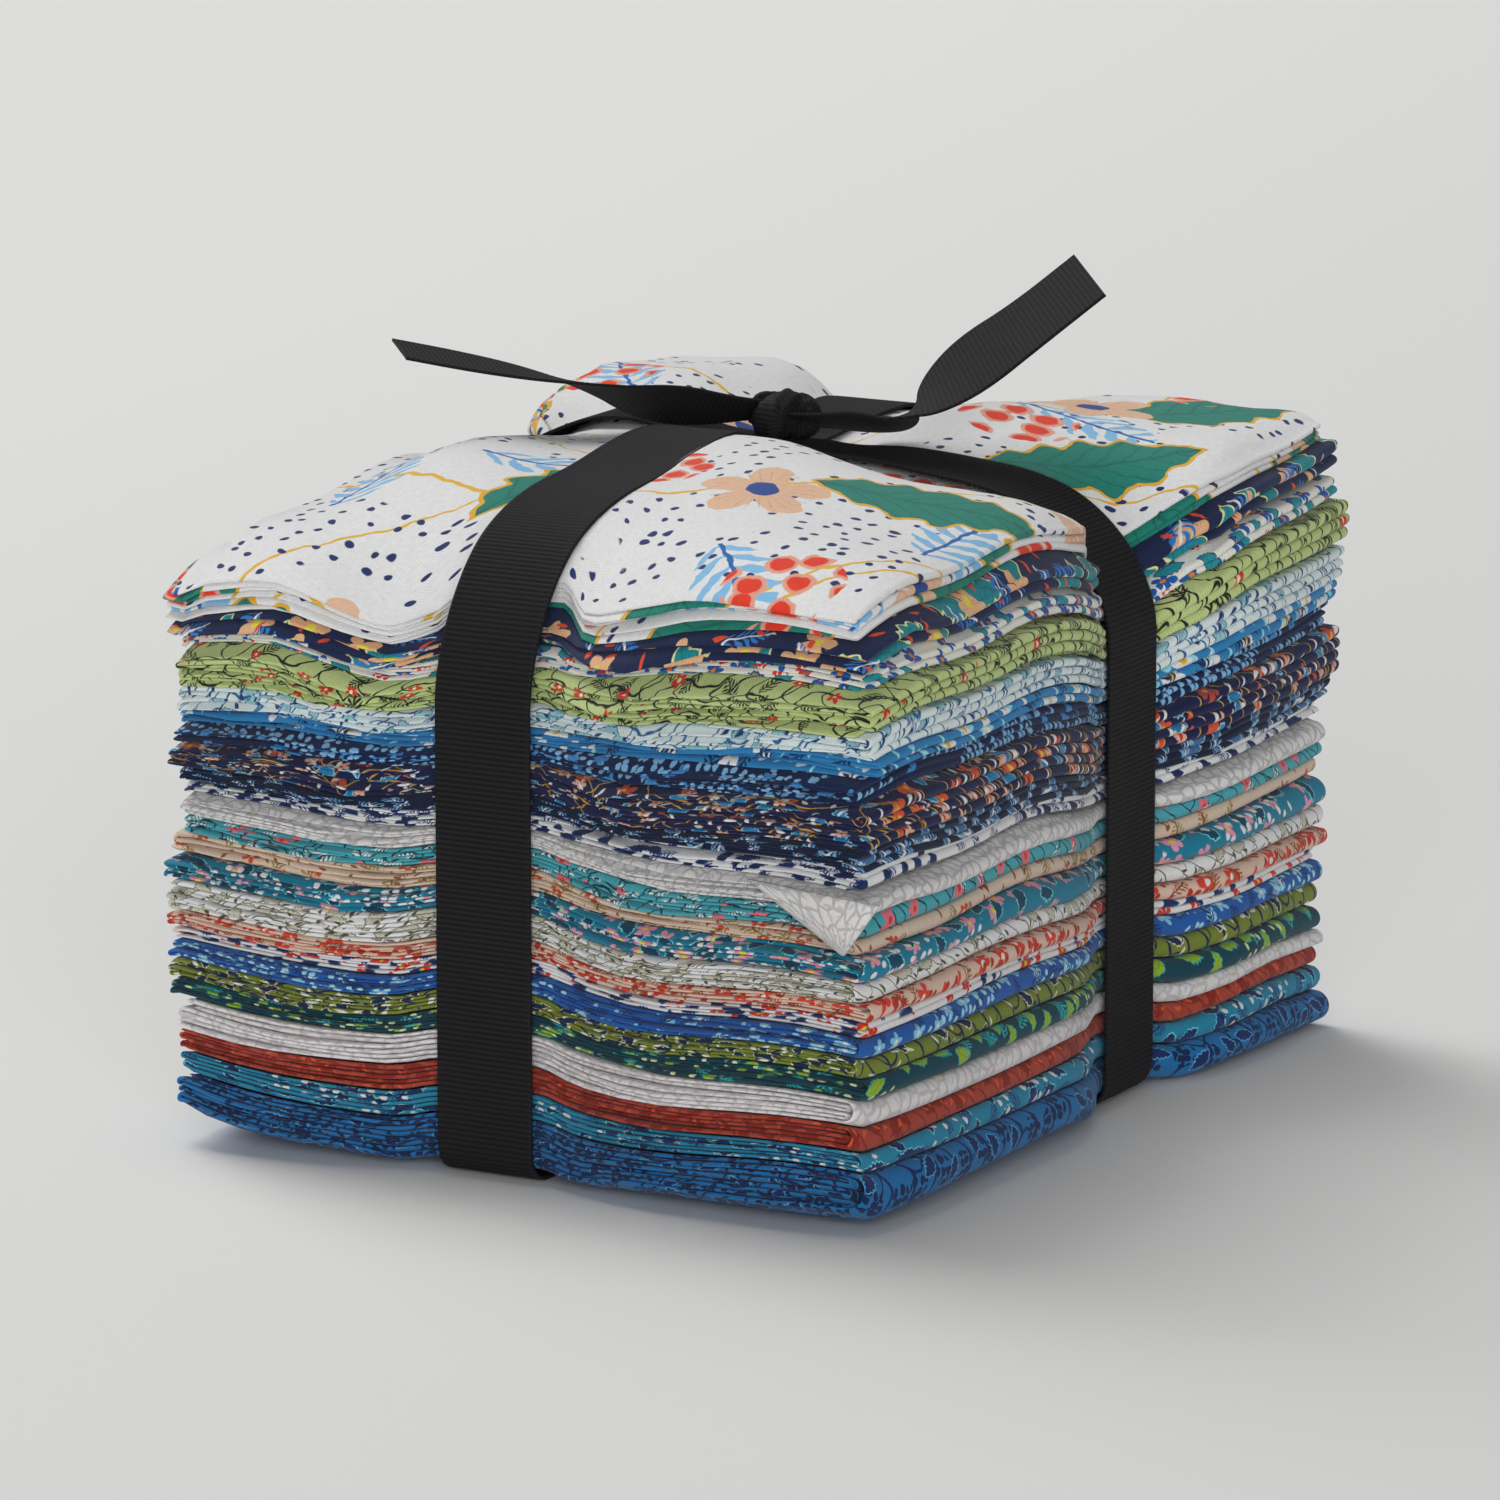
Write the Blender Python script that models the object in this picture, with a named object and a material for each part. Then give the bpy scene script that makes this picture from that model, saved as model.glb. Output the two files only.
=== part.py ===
"""Fat quarter bundle: a stack of folded cotton quarters tied up like a parcel with one ribbon.

Metres, +Z up. X runs across the folds and Y along them, so the -Y side shows the ends of the
folds and the +X side shows the rolled folds themselves. The origin is under the middle of the
stack, on the surface that it rests on.
"""

import math
from typing import NamedTuple

import bmesh
import bpy
from mathutils import Vector

MM = 0.001

# The stack
WIDTH = 0.160
DEPTH = 0.208
QUARTER_GAP = 0.0006
LAYER_GAP = 0.00025
DOME = 0.009
EDGE_DROOP = 0.0035
EDGE_START = 0.84
CURL_REACH = 0.030

# The ribbon, and how far it pulls the stack in
RIBBON_WIDTH = 0.022
RIBBON_THICK = 0.001
RIBBON_CLEAR = 0.00075
TIE_X = -0.0105
TIE_Y = 0.021
TIE_SPREAD = 0.030
TIE_DEPTH = 0.006
SIDE_PULL = 0.006
FLOOR_RECESS = 0.0018

# How many points an arc has between its ends
SMALL_TURN = 3
LARGE_TURN = 5


class Quarter(NamedTuple):
    """One fat quarter. Thicknesses, and how far its sides stand out, are in millimetres."""

    left: float  # thickness at the front left corner
    near: float  # thickness at the front right corner
    far: float  # thickness at the back right corner
    fold: str  # "zigzag" turns back and forth, "wrap" has its last layers inside the first fold
    layers: int
    front: float  # how far the front ends stand out
    right: float  # how far the rolled folds stand out
    out: float  # how far the left ends stand out
    colour: tuple


# From the top of the stack down
QUARTERS = (
    Quarter(7.4, 7.0, 6.0, "zigzag", 3, -2.5, -2.5, 4.5, (0.80, 0.79, 0.77)),
    Quarter(3.4, 5.6, 7.5, "zigzag", 3, -1.0, 0.0, 4.0, (0.02, 0.04, 0.12)),
    Quarter(3.2, 4.4, 6.6, "zigzag", 3, -2.0, 1.0, 2.0, (0.76, 0.68, 0.55)),
    Quarter(7.0, 7.2, 9.8, "zigzag", 4, 1.5, 3.0, 0.5, (0.48, 0.58, 0.33)),
    Quarter(6.2, 5.8, 7.2, "zigzag", 3, 0.0, 2.0, 2.5, (0.66, 0.75, 0.78)),
    Quarter(3.3, 4.4, 5.6, "zigzag", 3, -1.5, 3.0, 2.0, (0.06, 0.27, 0.52)),
    Quarter(4.0, 5.4, 5.6, "zigzag", 3, 1.0, 0.0, 3.0, (0.01, 0.02, 0.09)),
    Quarter(5.4, 8.8, 10.5, "zigzag", 4, 2.0, 2.5, 3.0, (0.02, 0.02, 0.09)),
    Quarter(3.9, 5.4, 5.0, "zigzag", 3, 0.5, 1.0, 2.0, (0.01, 0.02, 0.06)),
    Quarter(3.4, 5.4, 5.6, "zigzag", 3, -2.0, -0.5, 1.5, (0.78, 0.79, 0.82)),
    Quarter(4.3, 3.7, 4.8, "wrap", 3, 1.5, 1.5, 1.0, (0.66, 0.65, 0.64)),
    Quarter(4.6, 5.0, 3.9, "wrap", 3, 0.5, 0.0, 0.5, (0.12, 0.42, 0.45)),
    Quarter(5.8, 4.0, 3.8, "wrap", 3, -0.5, -1.0, 4.0, (0.76, 0.61, 0.46)),
    Quarter(5.0, 4.8, 6.4, "wrap", 3, 1.0, 1.5, 4.5, (0.01, 0.22, 0.36)),
    Quarter(7.6, 4.4, 4.5, "wrap", 3, 2.0, 0.5, 4.0, (0.79, 0.77, 0.72)),
    Quarter(3.8, 4.2, 3.6, "wrap", 3, 0.0, 2.0, 4.5, (0.80, 0.58, 0.45)),
    Quarter(3.3, 3.4, 3.3, "zigzag", 2, -1.5, -0.5, 4.5, (0.80, 0.80, 0.80)),
    Quarter(4.1, 4.3, 5.2, "wrap", 3, 0.5, 1.0, 4.5, (0.02, 0.12, 0.46)),
    Quarter(4.6, 4.2, 5.4, "wrap", 3, 1.0, 0.0, 4.5, (0.21, 0.27, 0.03)),
    Quarter(3.9, 4.6, 5.6, "wrap", 3, -0.5, 1.5, 4.5, (0.01, 0.07, 0.10)),
    Quarter(7.2, 6.0, 4.1, "wrap", 3, 2.0, 0.5, 1.5, (0.68, 0.64, 0.66)),
    Quarter(6.0, 5.0, 4.4, "wrap", 3, 0.5, -0.5, 2.0, (0.48, 0.06, 0.03)),
    Quarter(5.4, 4.8, 5.5, "wrap", 3, 0.0, 1.0, 2.0, (0.03, 0.28, 0.45)),
    Quarter(8.8, 10.0, 7.6, "wrap", 4, 1.0, 2.5, 2.5, (0.01, 0.18, 0.50)),
)
BACK_LEFT_FULLNESS = 1.06

# How far the sides are drawn in at each corner of the plan
CORNER_DRAW_IN = {(-1, -1): 0.0012, (1, -1): 0.0032, (1, 1): 0.0008, (-1, 1): 0.0020}

# How far each bottom corner curls up off the surface
CURLS = (
    (-WIDTH / 2, -DEPTH / 2, 0.005),
    (WIDTH / 2, -DEPTH / 2, 0.002),
    (WIDTH / 2, DEPTH / 2, 0.001),
    (-WIDTH / 2, DEPTH / 2, 0.002),
)

# Where every layer has its points. The ribbon lies between the middle two.
ACROSS = (-0.045, TIE_X - RIBBON_WIDTH / 2, TIE_X + RIBBON_WIDTH / 2, 0.040)
ALONG = (-0.050, TIE_Y - RIBBON_WIDTH / 2, TIE_Y + RIBBON_WIDTH / 2, 0.064)
OUTER_ACROSS = (-0.066, 0.066)
OUTER_ALONG = (-0.086, 0.086)

# The knot's half sizes, and how far it sinks into the crossing of the bands
KNOT_SIZE = Vector((0.0095, 0.0085, 0.0060))
KNOT_SINK = 0.0007

# How far the band across lies above the band along, where they cross on top
CROSSING_LIFT = 0.00025

# The free ends, from the knot outwards: the middle of the strip, counted from the middle of the
# knot, and the way that its width lies
LEFT_END = (
    ((-0.003, -0.001, 0.001), (0.20, -0.90, 0.35)),
    ((-0.013, -0.010, 0.002), (0.30, -0.88, 0.25)),
    ((-0.024, -0.020, 0.0045), (0.45, -0.86, 0.10)),
    ((-0.041, -0.033, 0.010), (0.60, -0.80, 0.00)),
    ((-0.054, -0.043, 0.014), (0.63, -0.80, -0.02)),
    ((-0.066, -0.053, 0.018), (0.63, -0.80, -0.02)),
)
RIGHT_END = (
    ((0.003, 0.000, 0.001), (0.04, -1.00, 0.06)),
    ((0.012, 0.0005, 0.0015), (0.04, -1.00, 0.06)),
    ((0.022, 0.001, 0.0025), (0.10, -1.00, 0.03)),
    ((0.031, 0.002, 0.0045), (0.30, -0.92, -0.08)),
    ((0.040, 0.0065, 0.0115), (0.50, -0.82, -0.20)),
    ((0.051, 0.0135, 0.0215), (0.65, -0.71, -0.26)),
    ((0.0625, 0.021, 0.0323), (0.65, -0.71, -0.26)),
)


def clear_scene():
    """Remove everything that the file starts with."""
    for obj in list(bpy.data.objects):
        bpy.data.objects.remove(obj, do_unlink=True)


def cloth_material(name, colour, roughness):
    """A plain cloth colour."""
    material = bpy.data.materials.new(name)
    material.use_nodes = True
    shader = material.node_tree.nodes["Principled BSDF"]
    shader.inputs["Base Color"].default_value = (*colour, 1)
    shader.inputs["Roughness"].default_value = roughness
    shader.inputs["Metallic"].default_value = 0
    return material


def add_object(name, mesh, material):
    """Put a finished mesh in the scene, with its faces outwards."""
    bm = bmesh.new()
    bm.from_mesh(mesh)
    bmesh.ops.recalc_face_normals(bm, faces=bm.faces)
    bm.to_mesh(mesh)
    bm.free()
    mesh.materials.append(material)
    mesh.shade_smooth()
    mesh.set_sharp_from_angle(angle=math.radians(50))
    obj = bpy.data.objects.new(name, mesh)
    bpy.context.scene.collection.objects.link(obj)
    return obj


def across_plan(left, near, far, x, y):
    """A value at (x, y), from its values at three corners; the fourth follows from them."""
    u = x / WIDTH + 0.5
    v = y / DEPTH + 0.5
    back_left = (left + far) / 2 * BACK_LEFT_FULLNESS
    front = left + (near - left) * u
    back = back_left + (far - back_left) * u
    return front + (back - front) * v


def under_tie(x, y):
    """1 under either band of the ribbon, falling to 0 some way beside it."""

    def beside(distance):
        t = (abs(distance) - RIBBON_WIDTH / 2) / TIE_SPREAD
        return 1 - min(max(t, 0), 1)

    return max(beside(x - TIE_X), beside(y - TIE_Y))


def puff(x, y):
    """0 at the stack's edges and 1 at its middle."""
    u = min(max(x / WIDTH + 0.5, 0), 1)
    v = min(max(y / DEPTH + 0.5, 0), 1)
    return math.sqrt(math.sin(math.pi * u) * math.sin(math.pi * v))


def thickness_below(count, x, y):
    """Height in millimetres of the lowest count quarters, before the ribbon pulls them in."""
    lowest = QUARTERS[len(QUARTERS) - count:]
    return sum(across_plan(q.left, q.near, q.far, x, y) for q in lowest)


def floor_height(x, y):
    """The underside of the stack: on the floor, but up over the ribbon and at the curled corners."""
    curls = (
        lift * max(0, 1 - math.hypot(x - corner_x, y - corner_y) / CURL_REACH) ** 2
        for corner_x, corner_y, lift in CURLS
    )
    return max(FLOOR_RECESS * (under_tie(x, y) > 0.999), *curls)


def top_height(x, y):
    """The upper side of the stack: puffed between the bands, and low under them."""
    whole = thickness_below(len(QUARTERS), x, y) * MM
    return whole + DOME * puff(x, y) - TIE_DEPTH * under_tie(x, y)


def level_at_station(count, x, y):
    """Height of the boundary above the lowest count quarters, at one station."""
    share = thickness_below(count, x, y) / thickness_below(len(QUARTERS), x, y)
    return floor_height(x, y) + share * (top_height(x, y) - floor_height(x, y))


def between(stations, place):
    """(the station before a place, the one after it, how far between them the place lies)."""
    i = 0
    while i < len(stations) - 2 and place > stations[i + 1]:
        i += 1
    return stations[i], stations[i + 1], (place - stations[i]) / (stations[i + 1] - stations[i])


def level(count, x, y):
    """Height of the same boundary anywhere: flat in the two triangles between four stations."""
    left, right, u = between((-WIDTH / 2, *ACROSS, WIDTH / 2), x)
    front, back, v = between((-DEPTH / 2, *ALONG, DEPTH / 2), y)
    start = level_at_station(count, left, front)
    end = level_at_station(count, right, back)
    if u >= v:
        side = level_at_station(count, right, front)
        return start + u * (side - start) + v * (end - side)
    side = level_at_station(count, left, back)
    return start + v * (side - start) + u * (end - side)


def side_pull(distance):
    """How far a side is drawn in by the band that crosses it."""
    t = (abs(distance) - RIBBON_WIDTH / 2) / TIE_SPREAD
    return SIDE_PULL * (1 - min(max(t, 0), 1))


def held(stand_out, distance):
    """How far a side stands out in metres: its own distance, but little under the band."""
    t = min(max((abs(distance) - RIBBON_WIDTH / 2) / (TIE_SPREAD / 2), 0), 1)
    return stand_out * MM * (0.15 + 0.85 * t) - side_pull(distance)


def edge_droop(x, y):
    """How far the stack's upper side bends down towards its edges, less under the ribbon."""
    out = min(max(abs(2 * x / WIDTH), abs(2 * y / DEPTH)), 1)
    share = max(0, (out - EDGE_START) / (1 - EDGE_START)) ** 2
    return EDGE_DROOP * share * (1 - 0.5 * under_tie(x, y))


def corner_draw_in(t, side_x, side_y):
    """How far a side is drawn in where it meets the next one. t runs from -1 to 1 along it."""
    return CORNER_DRAW_IN[side_x, side_y] * max(0, (abs(t) - 0.7) / 0.3) ** 2


def end_place(quarter, x, front):
    """The y where a quarter ends at x, on its front or its back side."""
    # The back has less of the same unevenness, because a quarter is about as long all over.
    stand_out = quarter.front if front else 0.6 * quarter.front - 0.5
    rounded = corner_draw_in(2 * x / WIDTH, 1 if x > 0 else -1, -1 if front else 1)
    y = DEPTH / 2 + held(stand_out, x - TIE_X) - rounded
    return -y if front else y


class Section:
    """The back-and-forth section of one quarter at one place along its folds."""

    def __init__(self, index, across, place):
        """place is a y, or "front" or "back" for the ends of the folds."""
        self.quarter = QUARTERS[index]
        self.above = len(QUARTERS) - index
        self.across = across
        self.place = place
        middle = self.y_at(0)
        end = 1 if middle > 0 else -1
        t = 2 * middle / DEPTH
        self.right = WIDTH / 2 + held(self.quarter.right, middle - TIE_Y) - corner_draw_in(t, 1, end)
        self.left = -WIDTH / 2 - held(self.quarter.out, middle - TIE_Y) + corner_draw_in(t, -1, end)

    def y_at(self, x):
        """The y of this section at x."""
        if self.place in ("front", "back"):
            return end_place(self.quarter, x, self.place == "front")
        return self.place

    def span(self, x):
        """The quarter's own lowest and highest points at x."""
        y = self.y_at(x)
        low = level(self.above - 1, x, y)
        high = level(self.above, x, y)
        on_floor = self.above == 1
        on_top = self.above == len(QUARTERS)
        droop = edge_droop(x, y)
        high -= droop if on_top else 0
        low += 0.5 * droop if on_floor else 0
        return low + (0 if on_floor else QUARTER_GAP / 2), high - (0 if on_top else QUARTER_GAP / 2)

    def layer(self, number, x):
        """(middle height, thickness) of a layer at x, counted from the top."""
        low, high = self.span(x)
        count = self.quarter.layers
        thick = (high - low - LAYER_GAP * (count - 1)) / count
        return high - thick / 2 - number * (thick + LAYER_GAP), thick

    def turn_middle(self, first, second, side):
        """The x of the middle of a turn that joins two layers at one side."""
        edge = self.right if side > 0 else self.left
        top, thick = self.layer(first, edge)
        bottom, _ = self.layer(second, edge)
        return edge - side * (abs(top - bottom) + thick) / 2

    def turn(self, first, second, side, steps, middle=None):
        """Points round a turn, each (x, y, z, sideways x, sideways z, half thickness)."""
        if middle is None:
            middle = self.turn_middle(first, second, side)
        start, thick = self.layer(first, middle)
        end, _ = self.layer(second, middle)
        radius = abs(start - end) / 2
        down = 1 if start > end else -1
        points = []
        for step in range(steps + 2):
            angle = math.pi * step / (steps + 1)
            points.append((
                middle + side * radius * math.sin(angle),
                self.y_at(middle),
                (start + end) / 2 + down * radius * math.cos(angle),
                down * math.sin(angle),
                side * math.cos(angle),
                thick / 2,
            ))
        return points

    def run(self, number, side, low_end=None, high_end=None):
        """Points along a layer towards one side, with an end where the cloth stops."""
        places = [x for x in (low_end, *self.across, high_end) if x is not None]
        if side < 0:
            places.reverse()
        points = []
        for x in places:
            middle, thick = self.layer(number, x)
            points.append((x, self.y_at(x), middle, 0, side, thick / 2))
        return points

    def wrapped(self):
        """A first fold round all the other layers, which end inside it."""
        last = self.quarter.layers - 1
        inside = self.turn_middle(0, last, 1)
        points = self.run(0, 1, low_end=self.left + 0.001)
        points += self.turn(0, last, 1, LARGE_TURN)
        points += self.run(last, -1)
        points += self.turn(last, last - 1, -1, SMALL_TURN)
        if last == 2:
            return points + self.run(1, 1, high_end=inside)
        points += self.run(2, 1)
        points += self.turn(2, 1, 1, SMALL_TURN, inside)
        return points + self.run(1, -1, low_end=self.left + 0.0025)

    def zigzag(self):
        """Folds back and forth, one above the other."""
        last = self.quarter.layers - 1
        points = []
        for number in range(last + 1):
            side = 1 if number % 2 == 0 else -1
            starts = number == 0 or (number == last and side < 0)
            stops = number == last and side > 0
            low_end = self.left + 0.0015 if starts else None
            high_end = self.right - 0.002 if stops else None
            points += self.run(number, side, low_end, high_end)
            if number < last:
                points += self.turn(number, number + 1, side, SMALL_TURN)
        return points

    def points(self):
        """The whole section, from one end of the cloth to the other."""
        return self.wrapped() if self.quarter.fold == "wrap" else self.zigzag()


def add_patch(bm, first, second, third, fourth):
    """Two triangles that part along the same way of the plan in every layer, so that layers fit."""
    if second.co.x >= first.co.x:
        bm.faces.new((first, second, third))
        bm.faces.new((first, third, fourth))
    else:
        bm.faces.new((first, second, fourth))
        bm.faces.new((second, third, fourth))


def quarter_mesh(index):
    """A thick sheet that follows its section from the front ends to the back ends."""
    detailed = index in (0, len(QUARTERS) - 1)
    across = sorted(ACROSS + OUTER_ACROSS) if detailed else ACROSS
    along = sorted(ALONG + OUTER_ALONG) if detailed else ALONG
    rings = [Section(index, across, place).points() for place in ("front", *along, "back")]
    bm = bmesh.new()
    outer = []
    inner = []
    for ring in rings:
        for side, sheet in ((1, outer), (-1, inner)):
            sheet.append([
                bm.verts.new((x + side * half * sideways_x, y, z + side * half * sideways_z))
                for x, y, z, sideways_x, sideways_z, half in ring
            ])
    lines = range(len(rings[0]) - 1)
    for sheet in (outer, inner):
        for row, following in zip(sheet, sheet[1:]):
            for i in lines:
                add_patch(bm, row[i], row[i + 1], following[i + 1], following[i])
    for number in (0, -1):
        first, second = outer[number], inner[number]
        for i in lines:
            bm.faces.new((first[i], first[i + 1], second[i + 1], second[i]))
    for i in (0, -1):
        for number in range(len(rings) - 1):
            bm.faces.new((
                outer[number][i],
                outer[number + 1][i],
                inner[number + 1][i],
                inner[number][i],
            ))
    mesh = bpy.data.meshes.new(f"quarter_{index + 1:02d}")
    bmesh.ops.remove_doubles(bm, verts=bm.verts, dist=1e-7)
    bm.to_mesh(mesh)
    bm.free()
    return mesh


def add_quarters():
    """All the quarters, from the top down."""
    for index, quarter in enumerate(QUARTERS):
        name = f"quarter_{index + 1:02d}"
        add_object(name, quarter_mesh(index), cloth_material(name, quarter.colour, 0.9))


def strip_mesh(name, stations, closed):
    """A flat strip through stations, each (middle, outwards, sideways), as one solid."""
    bm = bmesh.new()
    rows = []
    for middle, outwards, sideways in stations:
        row = []
        for lift in (0, RIBBON_THICK):
            for half in (-0.5, 0.5):
                place = middle + outwards * lift + sideways * RIBBON_WIDTH * half
                row.append(bm.verts.new(place))
        rows.append((row[0], row[1], row[3], row[2]))
    joined = [*rows, rows[0]] if closed else rows
    for row, following in zip(joined, joined[1:]):
        for i in range(4):
            j = (i + 1) % 4
            bm.faces.new((row[i], row[j], following[j], following[i]))
    if not closed:
        bm.faces.new(rows[0])
        bm.faces.new(rows[-1])
    bmesh.ops.recalc_face_normals(bm, faces=bm.faces)
    mesh = bpy.data.meshes.new(name)
    bm.to_mesh(mesh)
    bm.free()
    return mesh


def band_stations(front_to_back):
    """The way of one band round the stack, with its inner face clear of every quarter."""
    half = (DEPTH if front_to_back else WIDTH) / 2
    tie = TIE_X if front_to_back else TIE_Y
    places = sorted(ALONG + OUTER_ALONG) if front_to_back else sorted(ACROSS + OUTER_ACROSS)
    side = half - SIDE_PULL + 0.15 * 5 * MM + RIBBON_CLEAR

    def top(place):
        heights = [
            level(len(QUARTERS), edge, place) if front_to_back else level(len(QUARTERS), place, edge)
            for edge in (tie - RIBBON_WIDTH / 2, tie + RIBBON_WIDTH / 2)
        ]
        return max(heights) + RIBBON_CLEAR + (0 if front_to_back else CROSSING_LIFT)

    corner = 0.004
    profile = [(-side, corner + RIBBON_THICK), (-side, top(-half) - corner)]
    profile += [(-side + 0.2 * corner, top(-half) - 0.2 * corner), (-side + corner, top(-side + corner))]
    profile += [(place, top(place)) for place in places]
    profile += [(side - corner, top(side - corner)), (side - 0.2 * corner, top(half) - 0.2 * corner)]
    profile += [(side, top(half) - corner), (side, corner + RIBBON_THICK)]
    profile += [(side - 0.2 * corner, 0.2 * corner + RIBBON_THICK), (side - corner, RIBBON_THICK)]
    profile += [(-side + corner, RIBBON_THICK), (-side + 0.2 * corner, 0.2 * corner + RIBBON_THICK)]
    stations = []
    for i, (place, height) in enumerate(profile):
        before = profile[i - 1]
        after = profile[(i + 1) % len(profile)]
        way = Vector((after[0] - before[0], 0, after[1] - before[1])).normalized()
        outwards = Vector((-way.z, 0, way.x))
        if front_to_back:
            middle = Vector((tie, place, height))
            stations.append((middle, Vector((0, outwards.x, outwards.z)), Vector((1, 0, 0))))
        else:
            stations.append((Vector((place, tie, height)), outwards, Vector((0, 1, 0))))
    return stations


def knot_middle():
    """Where the knot sits on the crossing of the two bands."""
    crossing = level(len(QUARTERS), TIE_X, TIE_Y) + RIBBON_CLEAR + RIBBON_THICK
    return Vector((TIE_X, TIE_Y, crossing + KNOT_SIZE.z - KNOT_SINK))


def end_stations(rows):
    """The way of one free end."""
    points = [knot_middle() + Vector(place) for place, _ in rows]
    stations = []
    for i, (_, sideways) in enumerate(rows):
        way = points[min(i + 1, len(points) - 1)] - points[max(i - 1, 0)]
        way.normalize()
        width_way = Vector(sideways)
        width_way = (width_way - way * width_way.dot(way)).normalized()
        stations.append((points[i], way.cross(width_way), width_way))
    return stations


def knot_mesh():
    """The overhand knot: a flattened lump with the strip's turn over its middle."""
    bm = bmesh.new()
    bmesh.ops.create_icosphere(bm, subdivisions=2, radius=1)
    for vert in bm.verts:
        x, y, z = vert.co
        fullness = 1 + 0.16 * math.cos(2 * math.atan2(y, x) + 0.8) + 0.10 * math.sin(5 * x + 2 * y)
        ridge = 1 + 0.22 * math.exp(-((x + 0.4 * y) / 0.35) ** 2) if z > 0 else 1
        vert.co = knot_middle() + Vector((
            x * KNOT_SIZE.x * fullness,
            y * KNOT_SIZE.y * fullness,
            z * KNOT_SIZE.z * ridge,
        ))
    mesh = bpy.data.meshes.new("knot")
    bm.to_mesh(mesh)
    bm.free()
    return mesh


def add_ribbon():
    """Both bands, the knot and the free ends, joined into one piece."""
    material = cloth_material("ribbon", (0.012, 0.011, 0.013), 0.7)
    ribbon = add_object("ribbon", strip_mesh("ribbon", band_stations(True), True), material)
    others = (
        ("band_across", strip_mesh("band_across", band_stations(False), True)),
        ("knot", knot_mesh()),
        ("left_end", strip_mesh("left_end", end_stations(LEFT_END), False)),
        ("right_end", strip_mesh("right_end", end_stations(RIGHT_END), False)),
    )
    for name, mesh in others:
        piece = add_object(name, mesh, material)
        piece.hide_render = True
        piece.display_type = "WIRE"
        join = ribbon.modifiers.new(name, "BOOLEAN")
        join.operation = "UNION"
        join.object = piece
    return ribbon


clear_scene()
add_quarters()
add_ribbon()
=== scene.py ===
"""Looks of a fat quarter bundle: folded printed cotton quarters tied up with one ribbon.

Metres, +Z up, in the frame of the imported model. X runs across the folds and Y along them.
The -Y side shows the ends of the folds and the +X side shows the rolled folds themselves.
"""

import logging
import math
from dataclasses import dataclass, field
from enum import Enum

import bmesh
import bpy
import numpy as np
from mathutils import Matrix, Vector


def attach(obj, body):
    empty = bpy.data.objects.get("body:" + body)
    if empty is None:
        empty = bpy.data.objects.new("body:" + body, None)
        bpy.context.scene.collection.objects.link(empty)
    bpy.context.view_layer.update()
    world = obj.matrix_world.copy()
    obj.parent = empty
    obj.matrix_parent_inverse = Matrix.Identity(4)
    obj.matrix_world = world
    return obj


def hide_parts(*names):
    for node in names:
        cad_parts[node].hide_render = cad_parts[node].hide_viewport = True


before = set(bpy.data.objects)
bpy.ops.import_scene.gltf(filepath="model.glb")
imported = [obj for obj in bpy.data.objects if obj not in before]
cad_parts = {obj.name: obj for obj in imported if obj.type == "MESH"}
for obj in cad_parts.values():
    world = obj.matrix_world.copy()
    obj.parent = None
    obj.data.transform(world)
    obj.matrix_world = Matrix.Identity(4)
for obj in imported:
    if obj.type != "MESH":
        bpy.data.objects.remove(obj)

LOG = logging.getLogger("fat_quarter_bundle")
MM = 0.001
Colour = tuple[float, float, float]


def dye(code: str) -> Colour:
    """Turn a colour as it is seen into the linear one that a shader takes.

    Args:
        code: Six hexadecimal digits.

    Returns:
        The linear red, green and blue.
    """
    parts = [int(code[i:i + 2], 16) / 255 for i in (0, 2, 4)]
    return tuple(p / 12.92 if p <= 0.04045 else ((p + 0.055) / 1.055) ** 2.4 for p in parts)


class Fold(Enum):
    """How a quarter is folded up to the width of the stack."""

    ZIGZAG = "back and forth"
    WRAP = "its last passes lie inside the first fold"


class Shape(Enum):
    """What a printed motif looks like."""

    FLOWER = "petals round a centre"
    LEAF = "a lobed leaf with its veins"
    SPRIG = "a stem with pairs of leaflets"
    BERRIES = "a loose bunch of round berries"
    DOTS = "small dots all over"
    DASHES = "short strokes all over"
    VINES = "thin wavy stems"
    CRACKLE = "a net of thin lines"


@dataclass(frozen=True)
class Motif:
    """One motif that is strewn over the cloth. Sizes are in millimetres."""

    shape: Shape
    colour: Colour
    size: float
    pitch: float
    accent: Colour | None = None
    share: float = 1.0


@dataclass(frozen=True)
class CottonPrint:
    """The finish of one quarter: its ground colour and the motifs printed on it."""

    slot: str
    ground: Colour
    motifs: tuple[Motif, ...]


F, L, S, B = Shape.FLOWER, Shape.LEAF, Shape.SPRIG, Shape.BERRIES
D, H, V, C = Shape.DOTS, Shape.DASHES, Shape.VINES, Shape.CRACKLE

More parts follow.
